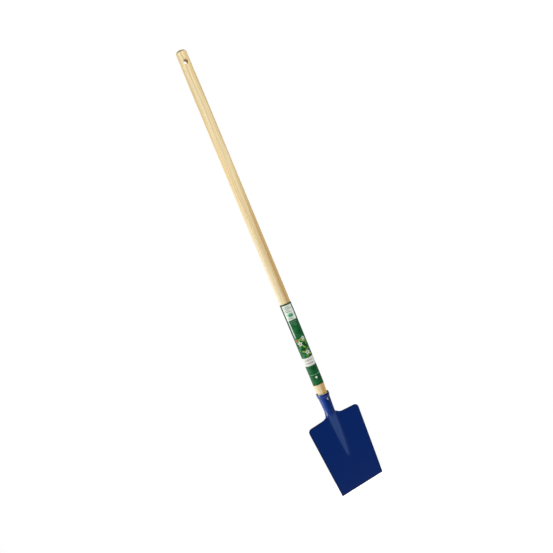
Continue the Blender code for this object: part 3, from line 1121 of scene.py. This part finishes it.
        # Curved marks read a height that is lowered towards the sides of the front
        front = add_node(tree, "Math", {"operation": "COSINE"}, links={0: angle})
        bow = {1: self.curve, 2: -self.curve}
        fall = add_node(tree, "Math", {"operation": "MULTIPLY_ADD"}, bow, {0: front})
        lowered = add_node(tree, "Math", {"operation": "ADD"}, links={0: apart["Z"], 1: fall})
        curved_film = add_node(tree, "CombineXYZ", links={"X": across, "Y": lowered})

        colour = self.green
        for mark in self.marks():
            reach = mark.reach(tree, curved_film if mark.curved else film)
            edge = Fade(reach, 1.0 + mark.soft, 1.0 - mark.soft, mark.cover)
            colour = lay_tone(tree, colour, mark.ink, [edge])
        # The lines that wrapping leaves in the film run up the stick
        wrap = (1.0 / self.wrap_width, 1.0 / self.wrap_length, 1.0)
        stretched = add_node(tree, "Mapping", values={"Scale": wrap}, links={"Vector": film})
        wavy = {"Scale": 1.0, "Detail": 2.0}
        folds = add_node(tree, "TexNoise", values=wavy, links={"Vector": stretched})
        gloss = {"IOR": self.film_ior, "Specular IOR Level": self.gloss}
        self.surface.give(tree, colour, folds, folds, gloss)
        return material


def background_rays(tree: Tree, behind: Source) -> Source:
    """Tell the rays that have to see a white background.

    Camera and transmission rays see it everywhere. Mirrored rays see it only behind the
    spade, where the camera has its background; in front of the spade the studio is dim.

    Args:
        tree: The node tree.
        behind: A value that rises towards the back and is 0 beside the spade.

    Returns:
        What gives 1 for such rays.
    """
    path = add_node(tree, "LightPath").outputs
    side = cover_of(tree, [Fade(behind, *BEHIND)])
    mirrored = add_node(tree, "Math", {"operation": "MULTIPLY"}, links={0: path["Is Glossy Ray"], 1: side})
    straight = {0: path["Is Camera Ray"], 1: path["Is Transmission Ray"]}
    seen = add_node(tree, "Math", {"operation": "MAXIMUM"}, links=straight)
    return add_node(tree, "Math", {"operation": "MAXIMUM"}, links={0: seen, 1: mirrored})


@dataclass(frozen=True)
class PaleFloor:
    """Matt white studio floor that shows white to the camera and keeps the shadow."""

    name: str = "matt_white_floor"
    paint: str = "#DCDCDC"
    roughness: float = 0.9
    gloss: float = 0.1
    camera_glow: float = 0.75

    def dress(self) -> Material:
        """Build the material.

        Returns:
            The floor's paint.
        """
        material, tree = new_material(self.name)
        place = add_node(tree, "TexCoord").outputs["Object"]
        apart = add_node(tree, "SeparateXYZ", links={"Vector": place})
        seen = background_rays(tree, apart.outputs["Y"])
        glow = add_node(tree, "Math", {"operation": "MULTIPLY"}, {1: self.camera_glow}, {0: seen})
        values = {"Base Color": linear_colour(self.paint), "Emission Color": WHITE}
        values |= {"Roughness": self.roughness, "Specular IOR Level": self.gloss}
        shader = add_node(tree, "BsdfPrincipled", values=values, links={"Emission Strength": glow})
        add_node(tree, "OutputMaterial", links={"Surface": shader})
        return material


# Pieces of the spade


@dataclass
class StickHandle:
    """The round wooden handle, turned from one length of wood.

    Sizes and places of all pieces are in millimetres, heights above the cutting edge.
    """

    length: float = 985.0
    radius: float = 12.1
    grip_end_radius: float = 11.7
    label_seat_radius: float = 11.45
    seat_shoulder: float = 233.6
    seat_start: float = 234.2
    seat_end: float = 249.5
    taper_top_radius: float = 11.95
    taper_foot_radius: float = 10.6
    mouth_height: float = 213.0
    mouth_radius: float = 10.35
    foot: float = 167.0
    foot_radius: float = 8.9
    foot_bevel: float = 0.8
    dome: float = 7.5
    dome_steps: int = 12
    tip_radius: float = 0.6
    sides: int = 96
    hole_diameter: float = 9.0
    hole_sides: int = 48
    countersink_diameter: float = 13.0
    hole_turn: float = -16.0
    cutter_reach: float = 6.0
    rim_reach: float = 1.2
    rim_angle: float = 0.35
    edge_round: float = 0.35
    sharp_angle: float = 35.0

    def radius_at(self, height: float) -> float:
        """Return the radius of the wood at a height.

        Args:
            height: Height above the cutting edge.

        Returns:
            The radius, from the turned outline.
        """
        stations = (
            (self.foot + 1.0, self.foot_radius),
            (185.0, 9.7),
            (200.0, 10.1),
            (self.mouth_height, self.mouth_radius),
            (219.0, self.taper_foot_radius),
            (227.0, 11.3),
            (self.seat_shoulder, self.taper_top_radius),
            (self.seat_start, self.label_seat_radius),
            (self.seat_end, self.label_seat_radius),
            (330.0, 11.65),
            (450.0, self.radius),
            (900.0, self.radius),
            (940.0, self.grip_end_radius),
        )
        return along(stations, height)

    def stations(self) -> list[Pair]:
        """List the turned outline from the foot in the socket to the rounded grip end.

        Returns:
            (radius, Z) pairs in millimetres, with Z from the hanging hole.
        """
        # Rings lie closer together where the outline bends and round the hanging hole
        heights = [168.0, 176.0, 185.0, 192.0, 200.0, 206.0, 213.0, 216.0, 219.0, 223.0, 227.0, 230.5]
        heights += [self.seat_shoulder, self.seat_start, 241.0, self.seat_end]
        heights += [275.0, 300.0, 330.0, 360.0, 390.0, 420.0, 450.0]
        heights += [450.0 + 50.0 * step for step in range(1, 10)]
        heights += [910.0, 920.0, 930.0, 940.0]
        heights += [944.0 + 1.5 * step for step in range(19)]
        outline = [(self.foot_radius - self.foot_bevel, self.foot)]
        outline += [(self.radius_at(height), height) for height in heights]
        for step in range(self.dome_steps):
            angle = 0.5 * math.pi * step / self.dome_steps
            rise = self.dome * math.sin(angle)
            outline.append((self.grip_end_radius * math.cos(angle), self.length - self.dome + rise))
        outline.append((self.tip_radius, self.length))
        return [(radius, height - HOLE_HEIGHT) for radius, height in outline]

    def hole_cutter(self) -> Piece:
        """Turn the countersunk hanging hole as a cutter across the handle.

        Returns:
            The cutter, at its place.
        """
        reach = self.grip_end_radius + self.cutter_reach
        bore = 0.5 * self.hole_diameter
        sink_base = self.grip_end_radius - (0.5 * self.countersink_diameter - bore)
        wide = bore + reach - sink_base
        stations = [(wide, -reach), (bore, -sink_base), (bore, sink_base), (wide, reach)]
        cutter = turn_piece("hole_cutter", stations, self.hole_sides)
        cutter.rotation_euler = (math.radians(90.0), 0.0, math.radians(self.hole_turn))
        return cutter

    def build(self, material: Material, nail: "SocketNail") -> Piece:
        """Turn the handle, bore its holes and dress it.

        Args:
            material: The wood.
            nail: The nail that goes into it.

        Returns:
            The finished handle.
        """
        handle = turn_piece("wooden_handle", self.stations(), self.sides)
        cut_away(handle, self.hole_cutter())
        cut_away(handle, nail.bore_cutter())
        turn = Matrix.Rotation(math.radians(self.hole_turn), 3, "Z")
        hole_axis = turn @ Vector((0.0, -1.0, 0.0))
        reach = (0.5 * self.countersink_diameter + self.rim_reach) * MILLIMETRE

        def is_hole_rim(edge: bmesh.types.BMEdge) -> bool:
            """Tell whether an edge lies on the rim of the hanging hole.

            Args:
                edge: An edge of the handle.

            Returns:
                Whether it does.
            """
            middle = 0.5 * (edge.verts[0].co + edge.verts[1].co)
            beside = middle - hole_axis * middle.dot(hole_axis)
            near = beside.length < reach and len(edge.link_faces) == 2
            return near and edge.calc_face_angle(0.0) > self.rim_angle

        soften_edges(handle, is_hole_rim, self.edge_round)
        finish_piece(handle, material, self.sharp_angle)
        hand_over(handle, Node.HANDLE)
        return handle


@dataclass
class LabelSleeve:
    """The printed film round the handle, a thin sleeve whose seam shows in its print."""

    bottom: float = 234.5
    top: float = 420.0
    film: float = 0.25
    clearance: float = 0.3
    seat_length: float = 15.0
    rows: int = 12
    sides: int = 96
    sharp_angle: float = 35.0

    def build(self, material: Material, handle: StickHandle) -> Piece:
        """Wrap the film round the handle and dress it.

        Args:
            material: The printed film.
            handle: The handle that carries it.

        Returns:
            The finished label.
        """
        seat = self.bottom + self.seat_length
        heights = [self.bottom, mix(self.bottom, seat, 0.5), seat]
        heights += [mix(seat, self.top, row / self.rows) for row in range(1, self.rows + 1)]
        stations = [(handle.radius_at(at) + self.clearance, at - HOLE_HEIGHT) for at in heights]
        label = turn_piece("label_film", stations, self.sides, closed=False)
        thickness = self.film * MILLIMETRE
        apply_modifier(label, "SOLIDIFY", thickness=thickness, offset=1.0, use_even_offset=True)
        finish_piece(label, material, self.sharp_angle)
        hand_over(label, Node.LABEL)
        return label


@dataclass
class SocketNail:
    """The bright domed nail in the front of the socket."""

    height: float = 199.5
    seat: float = 12.925
    head_radius: float = 2.2
    rim: float = 0.25
    edge_inset: float = 0.08
    edge_rise: float = 0.06
    neck_foot: float = 0.3
    neck_top: float = 0.02
    dome: float = 1.0
    shank_radius: float = 1.25
    clearance: float = 0.3
    length: float = 19.0
    point: float = 3.0
    point_radius: float = 0.15
    bore_point_radius: float = 0.4
    bore_excess: float = 1.0
    bore_rise: float = 6.0
    dome_steps: int = 7
    sides: int = 40
    bore_sides: int = 24
    sharp_angle: float = 40.0

    def stand_forward(self, piece: Piece) -> None:
        """Turn a piece made along Z to point out of the front of the socket."""
        piece.rotation_euler = (math.radians(90.0), 0.0, 0.0)
        piece.location = (0.0, -self.seat * MILLIMETRE, row_height(self.height))

    def bore_cutter(self) -> Piece:
        """Turn the bore of the nail as a cutter.

        Returns:
            The cutter, at its place.
        """
        radius = self.shank_radius + self.clearance
        depth = self.length + self.bore_excess
        shoulder = self.point - depth
        stations = [(self.bore_point_radius, -depth), (radius, shoulder), (radius, self.bore_rise)]
        cutter = turn_piece("nail_bore", stations, self.bore_sides)
        self.stand_forward(cutter)
        return cutter

    def build(self, material: Material) -> Piece:
        """Make the nail and dress it.

        Args:
            material: The steel.

        Returns:
            The finished nail.
        """
        stations = [
            (self.point_radius, -self.length),
            (self.shank_radius, -self.length + self.point),
            (self.shank_radius, -self.neck_foot),
            (self.shank_radius, -self.neck_top),
            (self.head_radius - self.edge_inset, 0.0),
            (self.head_radius, self.edge_rise),
            (self.head_radius, self.rim),
        ]
        for step in range(1, self.dome_steps):
            angle = 0.5 * math.pi * step / self.dome_steps
            stations.append((self.head_radius * math.cos(angle), self.rim + self.dome * math.sin(angle)))
        nail = turn_piece("domed_nail", stations, self.sides)
        self.stand_forward(nail)
        settle(nail)
        finish_piece(nail, material, self.sharp_angle)
        hand_over(nail, Node.NAIL)
        return nail


@dataclass
class PressedHead:
    """The blade, rib and socket, pressed and rolled from one sheet of steel."""

    sheet: float = 1.5
    shoulder_apex: float = 160.8
    cant: float = math.radians(3.45)
    forward: float = 2.6
    top_half_width: float = 67.4
    tip_half_width: float = 55.5
    droop: float = math.radians(2.95)
    corner_radius: float = 8.8
    mouth: float = 213.0
    mouth_tilt: float = 1.7
    apex_radius: float = 10.45
    neck_radius: float = 10.85
    collar_radius: float = 12.65
    bead_foot_radius: float = 13.5
    bead_radius: float = 14.0
    mouth_radius: float = 13.95
    neck_height: float = 168.0
    collar_height: float = 203.6
    bead_foot_height: float = 205.2
    bead_height: float = 208.5
    seam_half_angle: float = math.radians(4.0)
    socket_closed: float = 178.0
    fillet_top: float = 173.0
    fillet_reach: float = 17.5
    rib_half_width: float = 13.0
    rib_end_half_width: float = 5.0
    rib_height: float = 7.1
    rib_length: float = 97.0
    rib_sinking: float = 1.15
    rib_narrowing: float = 1.6
    rib_foot_radius: float = 4.0
    rib_foot_share: float = 0.45
    rib_softening: float = 40.0
    edge_round: float = 0.3
    fillet_join: float = math.radians(30.0)
    crown_spread_start: float = 30.0
    crown_spread_end: float = 6.0
    corner_steps: int = 12
    fillet_steps: int = 8
    rim_angle: float = 1.2
    sharp_angle: float = 40.0
    blade_rows: int = 108
    socket_rows: int = 60
    crown_columns: int = 56
    wing_columns: int = 32
    column_crowding: float = 1.3

    def socket_radius(self, height: float) -> float:
        """Return the radius of the socket's middle surface at a height.

        Args:
            height: Height above the cutting edge.

        Returns:
            The radius, from the outline of the socket.
        """
        stations = (
            (self.shoulder_apex, self.apex_radius),
            (self.neck_height, self.neck_radius),
            (self.collar_height, self.collar_radius),
            (self.bead_foot_height, self.bead_foot_radius),
            (self.bead_height, self.bead_radius),
            (self.mouth, self.mouth_radius),
        )
        return along(stations, height) - 0.5 * self.sheet

    def rib_turn(self) -> float:
        """Return the angle through which the rib's crown turns at the shoulders."""
        return 2.0 * math.atan2(self.rib_height, self.rib_half_width)

    def rib_crown(self) -> float:
        """Return the radius of the rib's crown at the shoulders."""
        return self.rib_half_width / math.sin(self.rib_turn()) - self.rib_foot_radius

    def foot_width(self) -> float:
        """Return the width on the flat blank from the middle to the outer foot of the rib."""
        return (self.rib_crown() + self.rib_foot_radius) * self.rib_turn()

    def rib_rise(self, across: float, height: float) -> float:
        """Return how far the rib stands out of the blade.

        Args:
            across: Distance across the blade.
            height: Height above the cutting edge.

        Returns:
            The rise in millimetres.
        """
        down = max(self.shoulder_apex - height, 0.0)
        share = min(down / self.rib_length, 1.0)
        rise = self.rib_height * (1.0 - share) ** self.rib_sinking
        half_width = mix(self.rib_half_width, self.rib_end_half_width, share**self.rib_narrowing)
        distance = abs(across)
        if distance >= half_width or share == 1.0:
            return 0.0
        turn = 2.0 * math.atan2(rise, half_width)
        bends = half_width / math.sin(turn)
        softness = soft_share(down, 0.0, self.rib_softening)
        foot = mix(self.rib_foot_radius, self.rib_foot_share * bends, softness)
        crown = bends - foot
        if distance <= crown * math.sin(turn):
            return rise - crown + math.sqrt(crown**2 - distance**2)
        return foot - math.sqrt(foot**2 - (half_width - distance) ** 2)

    def section(self, height: float) -> tuple[float, float, float]:
        """Return the shape of a level section of the neck.

        Args:
            height: Height above the cutting edge.

        Returns:
            The radius of its crown, half the angle of the crown and the angle of the flare.
        """
        closed = soft_share(height, self.shoulder_apex, self.socket_closed)
        radius = mix(self.rib_crown(), self.socket_radius(height), closed)
        crown_angle = mix(self.rib_turn(), math.pi - self.seam_half_angle, closed)
        return radius, crown_angle, self.rib_turn() * (1.0 - closed)

    def crown_width(self, height: float) -> float:
        """Return the width on the blank of what becomes the crown of a section."""
        radius, crown_angle, _ = self.section(max(height, self.shoulder_apex))
        return radius * crown_angle

    def roll_neck(self, blank: float, height: float) -> Vector:
        """Bend a point of the blank above the shoulders round the axis of the handle.

        Args:
            blank: Place across the flat blank.
            height: Height above the cutting edge.

        Returns:
            The point of the middle surface.
        """
        radius, crown_angle, flare_angle = self.section(height)
        crown_length = radius * crown_angle
        closed = soft_share(height, self.shoulder_apex, self.socket_closed)
        centre = mix(self.rib_crown() - self.rib_height - self.forward, 0.0, closed)
        angle = crown_angle * min(abs(blank) / crown_length, 1.0)
        across = radius * math.sin(angle)
        depth = centre - radius * math.cos(angle)
        left = abs(blank) - crown_length
        if left > 0.0:
            foot = self.rib_foot_radius
            turn = min(left / foot, flare_angle)
            heading = angle - turn
            across += foot * (math.sin(angle) - math.sin(heading))
            depth += foot * (math.cos(heading) - math.cos(angle))
            across += (left - foot * turn) * math.cos(heading)
            depth += (left - foot * turn) * math.sin(heading)
        tilt = self.mouth_tilt * math.cos(angle) * soft_share(height, self.bead_foot_height, self.mouth)
        return Vector((math.copysign(across, blank), depth, height - tilt))

    def press(self, blank: float, height: float) -> Vector:
        """Press a point of the flat blank into the shape of the head.

        Args:
            blank: Place across the flat blank.
            height: Height above the cutting edge.

        Returns:
            The point of the middle surface.
        """
        if height >= self.shoulder_apex:
            return self.roll_neck(blank, height)
        curled = self.roll_neck(blank, self.shoulder_apex).x
        even = curled
        if abs(blank) <= self.foot_width():
            even = blank * self.rib_half_width / self.foot_width()
        across = mix(curled, even, soft_share(self.shoulder_apex - height, 0.0, self.rib_length))
        plane = -self.forward - math.tan(self.cant) * (self.shoulder_apex - height)
        return Vector((across, plane - self.rib_rise(across, height), height))

    def to_blank(self, across: float) -> float:
        """Return the place on the flat blank of a point of the wings beside the rib."""
        return self.foot_width() + across - self.rib_half_width

    def corner(self) -> list[Vector]:
        """List the rounded upper corner of the blade from its side to its shoulder.

        Returns:
            (across, height) points.
        """
        corner_height = self.top_half_width * -math.tan(self.droop) + self.shoulder_apex
        lean = math.atan2(self.top_half_width - self.tip_half_width, corner_height)
        end_angle = math.radians(90.0) - self.droop
        setback = self.corner_radius * math.tan(0.5 * (end_angle + lean))
        across, up = setback * math.sin(lean), setback * math.cos(lean)
        start = Vector((self.top_half_width - across, corner_height - up))
        centre = start - self.corner_radius * Vector((math.cos(-lean), math.sin(-lean)))
        steps = self.corner_steps
        angles = [mix(-lean, end_angle, step / steps) for step in range(steps + 1)]
        return [centre + self.corner_radius * Vector((math.cos(a), math.sin(a))) for a in angles]

    def fillet_point(self, angle: float) -> Vector:
        """Return a point of the blank's hollow corner between shoulder and socket.

        Args:
            angle: From 0 on the shoulder to a quarter turn on the socket.

        Returns:
            The (blank, height) point.
        """
        start = self.rib_half_width + self.fillet_reach
        base = self.shoulder_apex - start * math.tan(self.droop)
        margin = self.to_blank(start) - self.crown_width(base)
        height = mix(base, self.fillet_top, 1.0 - math.cos(angle))
        return Vector((self.crown_width(height) + margin * (1.0 - math.sin(angle)), height))

    def crown_edge(self, height: float) -> float:
        """Return the place on the blank where the crown ends, at a wing or at its own rim.

        Args:
            height: Height above the cutting edge.

        Returns:
            The place across the blank.
        """
        join = self.fillet_point(self.fillet_join)
        if height <= join.y:
            start, end = join.y - self.crown_spread_start, join.y + self.crown_spread_end
            share = soft_share(height, start, end) / soft_share(join.y, start, end)
            return mix(self.foot_width(), join.x, share)
        if height >= self.fillet_top:
            return self.crown_width(height)
        base = self.fillet_point(0.0).y
        return self.fillet_point(math.acos((self.fillet_top - height) / (self.fillet_top - base))).x

    def top_edge(self) -> list[Vector]:
        """List a wing's upper edge on the blank, from the socket's foot to the round corner.

        Returns:
            (blank, height) points.
        """
        corner = self.corner()
        steps = self.fillet_steps
        points = [self.fillet_point(self.fillet_join * step / steps) for step in range(steps, -1, -1)]
        half = len(corner) // 2
        for point in reversed(corner[half:]):
            points.append(Vector((self.to_blank(point.x), point.y)))
        return points

    def side_edge(self) -> list[Vector]:
        """List a wing's outer edge on the blank, from the tip to the round corner.

        Returns:
            (blank, height) points.
        """
        corner = self.corner()
        half = len(corner) // 2
        points = [Vector((self.to_blank(self.tip_half_width), 0.0))]
        for point in corner[: half + 1]:
            points.append(Vector((self.to_blank(point.x), point.y)))
        return points

    def wing_point(self, inward: float, upward: float, edges: dict[str, EdgeLine]) -> Vector:
        """Return a point of a wing on the blank, blended from its four edges.

        Args:
            inward: Share of the way from the crown to the outer side.
            upward: Share of the way from the tip to the upper edge.
            edges: The four edges as functions of a share.

        Returns:
            The (blank, height) point.
        """
        tip, top = edges["tip"](inward), edges["top"](inward)
        inner, side = edges["inner"](upward), edges["side"](upward)
        flat = tip * (1.0 - upward) + top * upward + inner * (1.0 - inward) + side * inward
        corners = edges["tip"](0.0) * (1.0 - inward) * (1.0 - upward)
        corners += edges["tip"](1.0) * inward * (1.0 - upward)
        corners += edges["top"](0.0) * (1.0 - inward) * upward
        corners += edges["top"](1.0) * inward * upward
        return flat - corners

    def build(self, material: Material, nail: SocketNail) -> Piece:
        """Press the head out of a flat sheet, thicken it and dress it.

        The press follows sums that no edit operator has, so a flat grid, from -1 to 1 both
        ways, is the blank and its points are moved in code.

        Args:
            material: The enamel.
            nail: The nail that goes through it.

        Returns:
            The finished head.
        """
        columns = self.crown_columns + 2 * self.wing_columns
        rows = self.blade_rows + self.socket_rows
        nothing_selected()
        bpy.ops.mesh.primitive_grid_add(x_subdivisions=columns, y_subdivisions=rows, size=2.0)
        head = bpy.context.active_object
        head.name = "pressed_head"
        head.data.name = "pressed_head"
        self.trim_blank(head, columns, rows)
        self.press_blank(head, columns, rows)
        thickness = self.sheet * MILLIMETRE
        apply_modifier(head, "SOLIDIFY", thickness=thickness, offset=0.0, use_even_offset=True)
        face_outwards(head)
        cut_away(head, nail.bore_cutter())
        soften_edges(head, lambda edge: edge.calc_face_angle(0.0) > self.rim_angle, self.edge_round)
        finish_piece(head, material, self.sharp_angle)
        hand_over(head, Node.HEAD)
        return head

    def trim_blank(self, head: Piece, columns: int, rows: int) -> None:
        """Cut the sheet beside the socket away from the flat grid.

        Args:
            head: The grid.
            columns: Its cells across.
            rows: Its cells up.
        """
        socket_bottom = self.blade_rows * 2.0 / rows - 1.0
        crown_side = self.crown_columns / columns
        bpy.ops.object.mode_set(mode="EDIT")
        bpy.ops.mesh.select_mode(type="FACE")
        bpy.ops.mesh.select_all(action="DESELECT")
        shape = bmesh.from_edit_mesh(head.data)
        for face in shape.faces:
            middle = face.calc_center_median()
            face.select_set(middle.y > socket_bottom and abs(middle.x) > crown_side)
        bmesh.update_edit_mesh(head.data)
        bpy.ops.mesh.delete(type="FACE")
        bpy.ops.object.mode_set(mode="OBJECT")

    def press_blank(self, head: Piece, columns: int, rows: int) -> None:
        """Move the points of the trimmed grid to the middle surface of the head.

        Args:
            head: The trimmed grid.
            columns: Its cells across.
            rows: Its cells up.
        """
        join = self.fillet_point(self.fillet_join).y
        tip = [Vector((self.foot_width(), 0.0)), Vector((self.to_blank(self.tip_half_width), 0.0))]
        edges = {
            "tip": spaced(tip, self.column_crowding),
            "top": spaced(self.top_edge(), self.column_crowding),
            "inner": lambda share: Vector((self.crown_edge(join * share), join * share)),
            "side": spaced(self.side_edge(), 1.0),
        }
        lift = 0.5 * self.sheet * math.sin(self.cant)
        half_crown = self.crown_columns // 2
        for vertex in head.data.vertices:
            column = round((vertex.co.x + 1.0) * 0.5 * columns) - columns // 2
            row = round((vertex.co.y + 1.0) * 0.5 * rows)
            side = math.copysign(1.0, column)
            if abs(column) <= half_crown:
                height = join * row / self.blade_rows
                if row > self.blade_rows:
                    height = mix(join, self.mouth, (row - self.blade_rows) / self.socket_rows)
                point = self.press(self.crown_edge(height) * column / half_crown, height)
            else:
                inward = (abs(column) - half_crown) / self.wing_columns
                place = self.wing_point(inward, row / self.blade_rows, edges)
                point = self.press(side * place.x, place.y)
            point.z = max(point.z, lift)
            vertex.co = (point.x * MILLIMETRE, point.y * MILLIMETRE, row_height(point.z))
        head.data.update()


def spaced(points: Sequence[Vector], power: float) -> EdgeLine:
    """Make a function that reads a line of points by its share of the length.

    Args:
        points: The (blank, height) points of the line.
        power: Below 1 the shares lie closer together at the far end, above 1 at the start.

    Returns:
        A function from a share to a point.
    """
    lengths = [0.0]
    for start, end in zip(points, points[1:]):
        lengths.append(lengths[-1] + (end - start).length)

    def read(share: float) -> Vector:
        """Return the point at a share of the line's length.

        Args:
            share: From 0 at the start of the line to 1 at its end.

        Returns:
            The point.
        """
        target = lengths[-1] * share**power
        for index in range(len(points) - 1):
            if target <= lengths[index + 1] + ROUNDING:
                part = (target - lengths[index]) / (lengths[index + 1] - lengths[index])
                return points[index].lerp(points[index + 1], min(max(part, 0.0), 1.0))
        return points[-1].copy()

    return read


# The studio


@dataclass
class PhotoCamera:
    """The camera of the photograph, as fitted to the outline of the spade.

    It stands at a distance in metres from the axis of the handle, with its height and how far
    it stands aside to the right in millimetres.
    """

    sensor: float = 36.0
    lens: float = 62.391
    azimuth: float = math.radians(27.541)
    pitch: float = math.radians(5.19)
    roll: float = math.radians(22.539)
    distance: float = 2.0
    height: float = 660.7
    aside: float = 4.99

    def place(self) -> Piece:
        """Set up the camera as the scene's own.

        Returns:
            The camera.
        """
        forward = Vector((math.sin(self.azimuth), math.cos(self.azimuth), 0.0))
        right = Vector((math.cos(self.azimuth), -math.sin(self.azimuth), 0.0))
        up = Vector((0.0, 0.0, 1.0))
        view = forward * math.cos(self.pitch) - up * math.sin(self.pitch)
        above = forward * math.sin(self.pitch) + up * math.cos(self.pitch)
        camera_right = right * math.cos(self.roll) - above * math.sin(self.roll)
        camera_up = above * math.cos(self.roll) + right * math.sin(self.roll)
        turn = Matrix((camera_right, camera_up, -view)).transposed().to_4x4()
        data = bpy.data.cameras.new("photo_camera")
        data.sensor_width = self.sensor
        data.lens = self.lens
        data.dof.use_dof = False
        camera = bpy.data.objects.new("photo_camera", data)
        bpy.context.scene.collection.objects.link(camera)
        spot = -self.distance * forward + self.aside * MILLIMETRE * right
        spot.z = row_height(self.height)
        camera.matrix_world = Matrix.Translation(spot) @ turn
        bpy.context.scene.camera = camera
        return camera


@dataclass(frozen=True)
class SoftLamp:
    """A rectangular softbox.

    Attributes:
        name: Name of the lamp.
        place: Its middle in metres of the row.
        aim: The point that it faces.
        size: Width and height in metres.
        power: Power in watts.
    """

    name: str
    place: Triple
    aim: Triple
    size: Pair
    power: float

    def hang(self) -> None:
        """Add the lamp to the scene."""
        data = bpy.data.lights.new(self.name, "AREA")
        data.shape = "RECTANGLE"
        data.size, data.size_y = self.size
        data.energy = self.power
        lamp = bpy.data.objects.new(self.name, data)
        bpy.context.scene.collection.objects.link(lamp)
        lamp.location = self.place
        lamp.rotation_mode = "QUATERNION"
        lamp.rotation_quaternion = (Vector(self.aim) - Vector(self.place)).to_track_quat("-Z", "Y")


@dataclass
class Studio:
    """White surroundings, dim on the side where the front of the spade looks.

    The floor lies a drop in millimetres below the cutting edge; its radius is in metres.
    """

    floor_drop: float = 300.0
    floor_radius: float = 1.0
    floor_sides: int = 96
    dim_level: float = 0.05
    bright_level: float = 1.0
    dim_until: float = -0.94
    bright_from: float = 0.42
    side_falloff: float = 1.4
    right_flag: Pair = (0.7, 0.92)
    right_mirror_level: float = 0.35
    lamps: tuple[SoftLamp, ...] = (
        SoftLamp("left_softbox", (-1.5, 0.55, -0.7), (0.0, 0.0, -0.7), (1.0, 1.0), 15.0),
        SoftLamp("high_front_softbox", (0.06, -1.14, 0.55), (0.0, 0.0, -0.1), (1.0, 0.8), 20.0),
    )

    def set_up(self) -> None:
        """Build the floor, the surroundings and the lamps."""
        self.lay_floor()
        self.light_surroundings()
        for lamp in self.lamps:
            lamp.hang()
        bpy.context.scene.view_settings.view_transform = "Standard"

    def lay_floor(self) -> None:
        """Lay a round pale floor below the hanging spade."""
        nothing_selected()
        spot = (0.0, 0.0, row_height(-self.floor_drop))
        bpy.ops.mesh.primitive_circle_add(
            vertices=self.floor_sides, radius=self.floor_radius, fill_type="NGON", location=spot
        )
        floor = bpy.context.active_object
        floor.name = "studio_floor"
        settle(floor)
        floor.data.materials.append(PaleFloor().dress())

    def light_surroundings(self) -> None:
        """Light the world: white behind the spade and to the camera, dim in front of it."""
        world = bpy.data.worlds.new("white_studio")
        bpy.context.scene.world = world
        world.use_nodes = True
        tree = world.node_tree
        tree.nodes.clear()
        direction = add_node(tree, "TexCoord").outputs["Generated"]
        backwards = {1: (0.0, 1.0, 0.0)}
        behind = add_node(tree, "VectorMath", {"operation": "DOT_PRODUCT"}, backwards, {0: direction})
        share = cover_of(tree, [Fade(behind, self.dim_until, self.bright_from)])
        rising = add_node(tree, "Math", {"operation": "POWER"}, {1: self.side_falloff}, {0: share})
        levels = {"To Min": self.dim_level, "To Max": self.bright_level}
        level = add_node(tree, "MapRange", values=levels, links={"Value": rising})
        # A dark flag stands at the right, which only mirrored rays meet
        sides = add_node(tree, "SeparateXYZ", links={"Vector": direction})
        mirrored = add_node(tree, "LightPath").outputs["Is Glossy Ray"]
        right = cover_of(tree, [Fade(sides.outputs["X"], *self.right_flag)])
        flag = add_node(tree, "Math", {"operation": "MULTIPLY"}, links={0: right, 1: mirrored})
        dimmed = {"To Min": 1.0, "To Max": self.right_mirror_level}
        kept = add_node(tree, "MapRange", values=dimmed, links={"Value": flag})
        flagged = add_node(tree, "Math", {"operation": "MULTIPLY"}, links={0: level, 1: kept})
        seen = background_rays(tree, behind)
        strength = add_node(tree, "Math", {"operation": "MAXIMUM"}, links={0: flagged, 1: seen})
        background = add_node(tree, "Background", values={"Color": WHITE}, links={"Strength": strength})
        add_node(tree, "OutputWorld", links={"Surface": background})


def main() -> None:
    """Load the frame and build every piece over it."""
    logging.basicConfig(level=logging.INFO, format="%(name)s: %(message)s")
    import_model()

    wood = LightWood().dress()
    film = PrintedFilm().dress()
    enamel = BlueEnamel().dress()
    steel = BrightSteel().dress()

    nail = SocketNail()
    handle = StickHandle()
    handle.build(wood, nail)
    LabelSleeve().build(film, handle)
    PressedHead().build(enamel, nail)
    nail.build(steel)

    Studio().set_up()
    PhotoCamera().place()


if __name__ == "__main__":
    main()
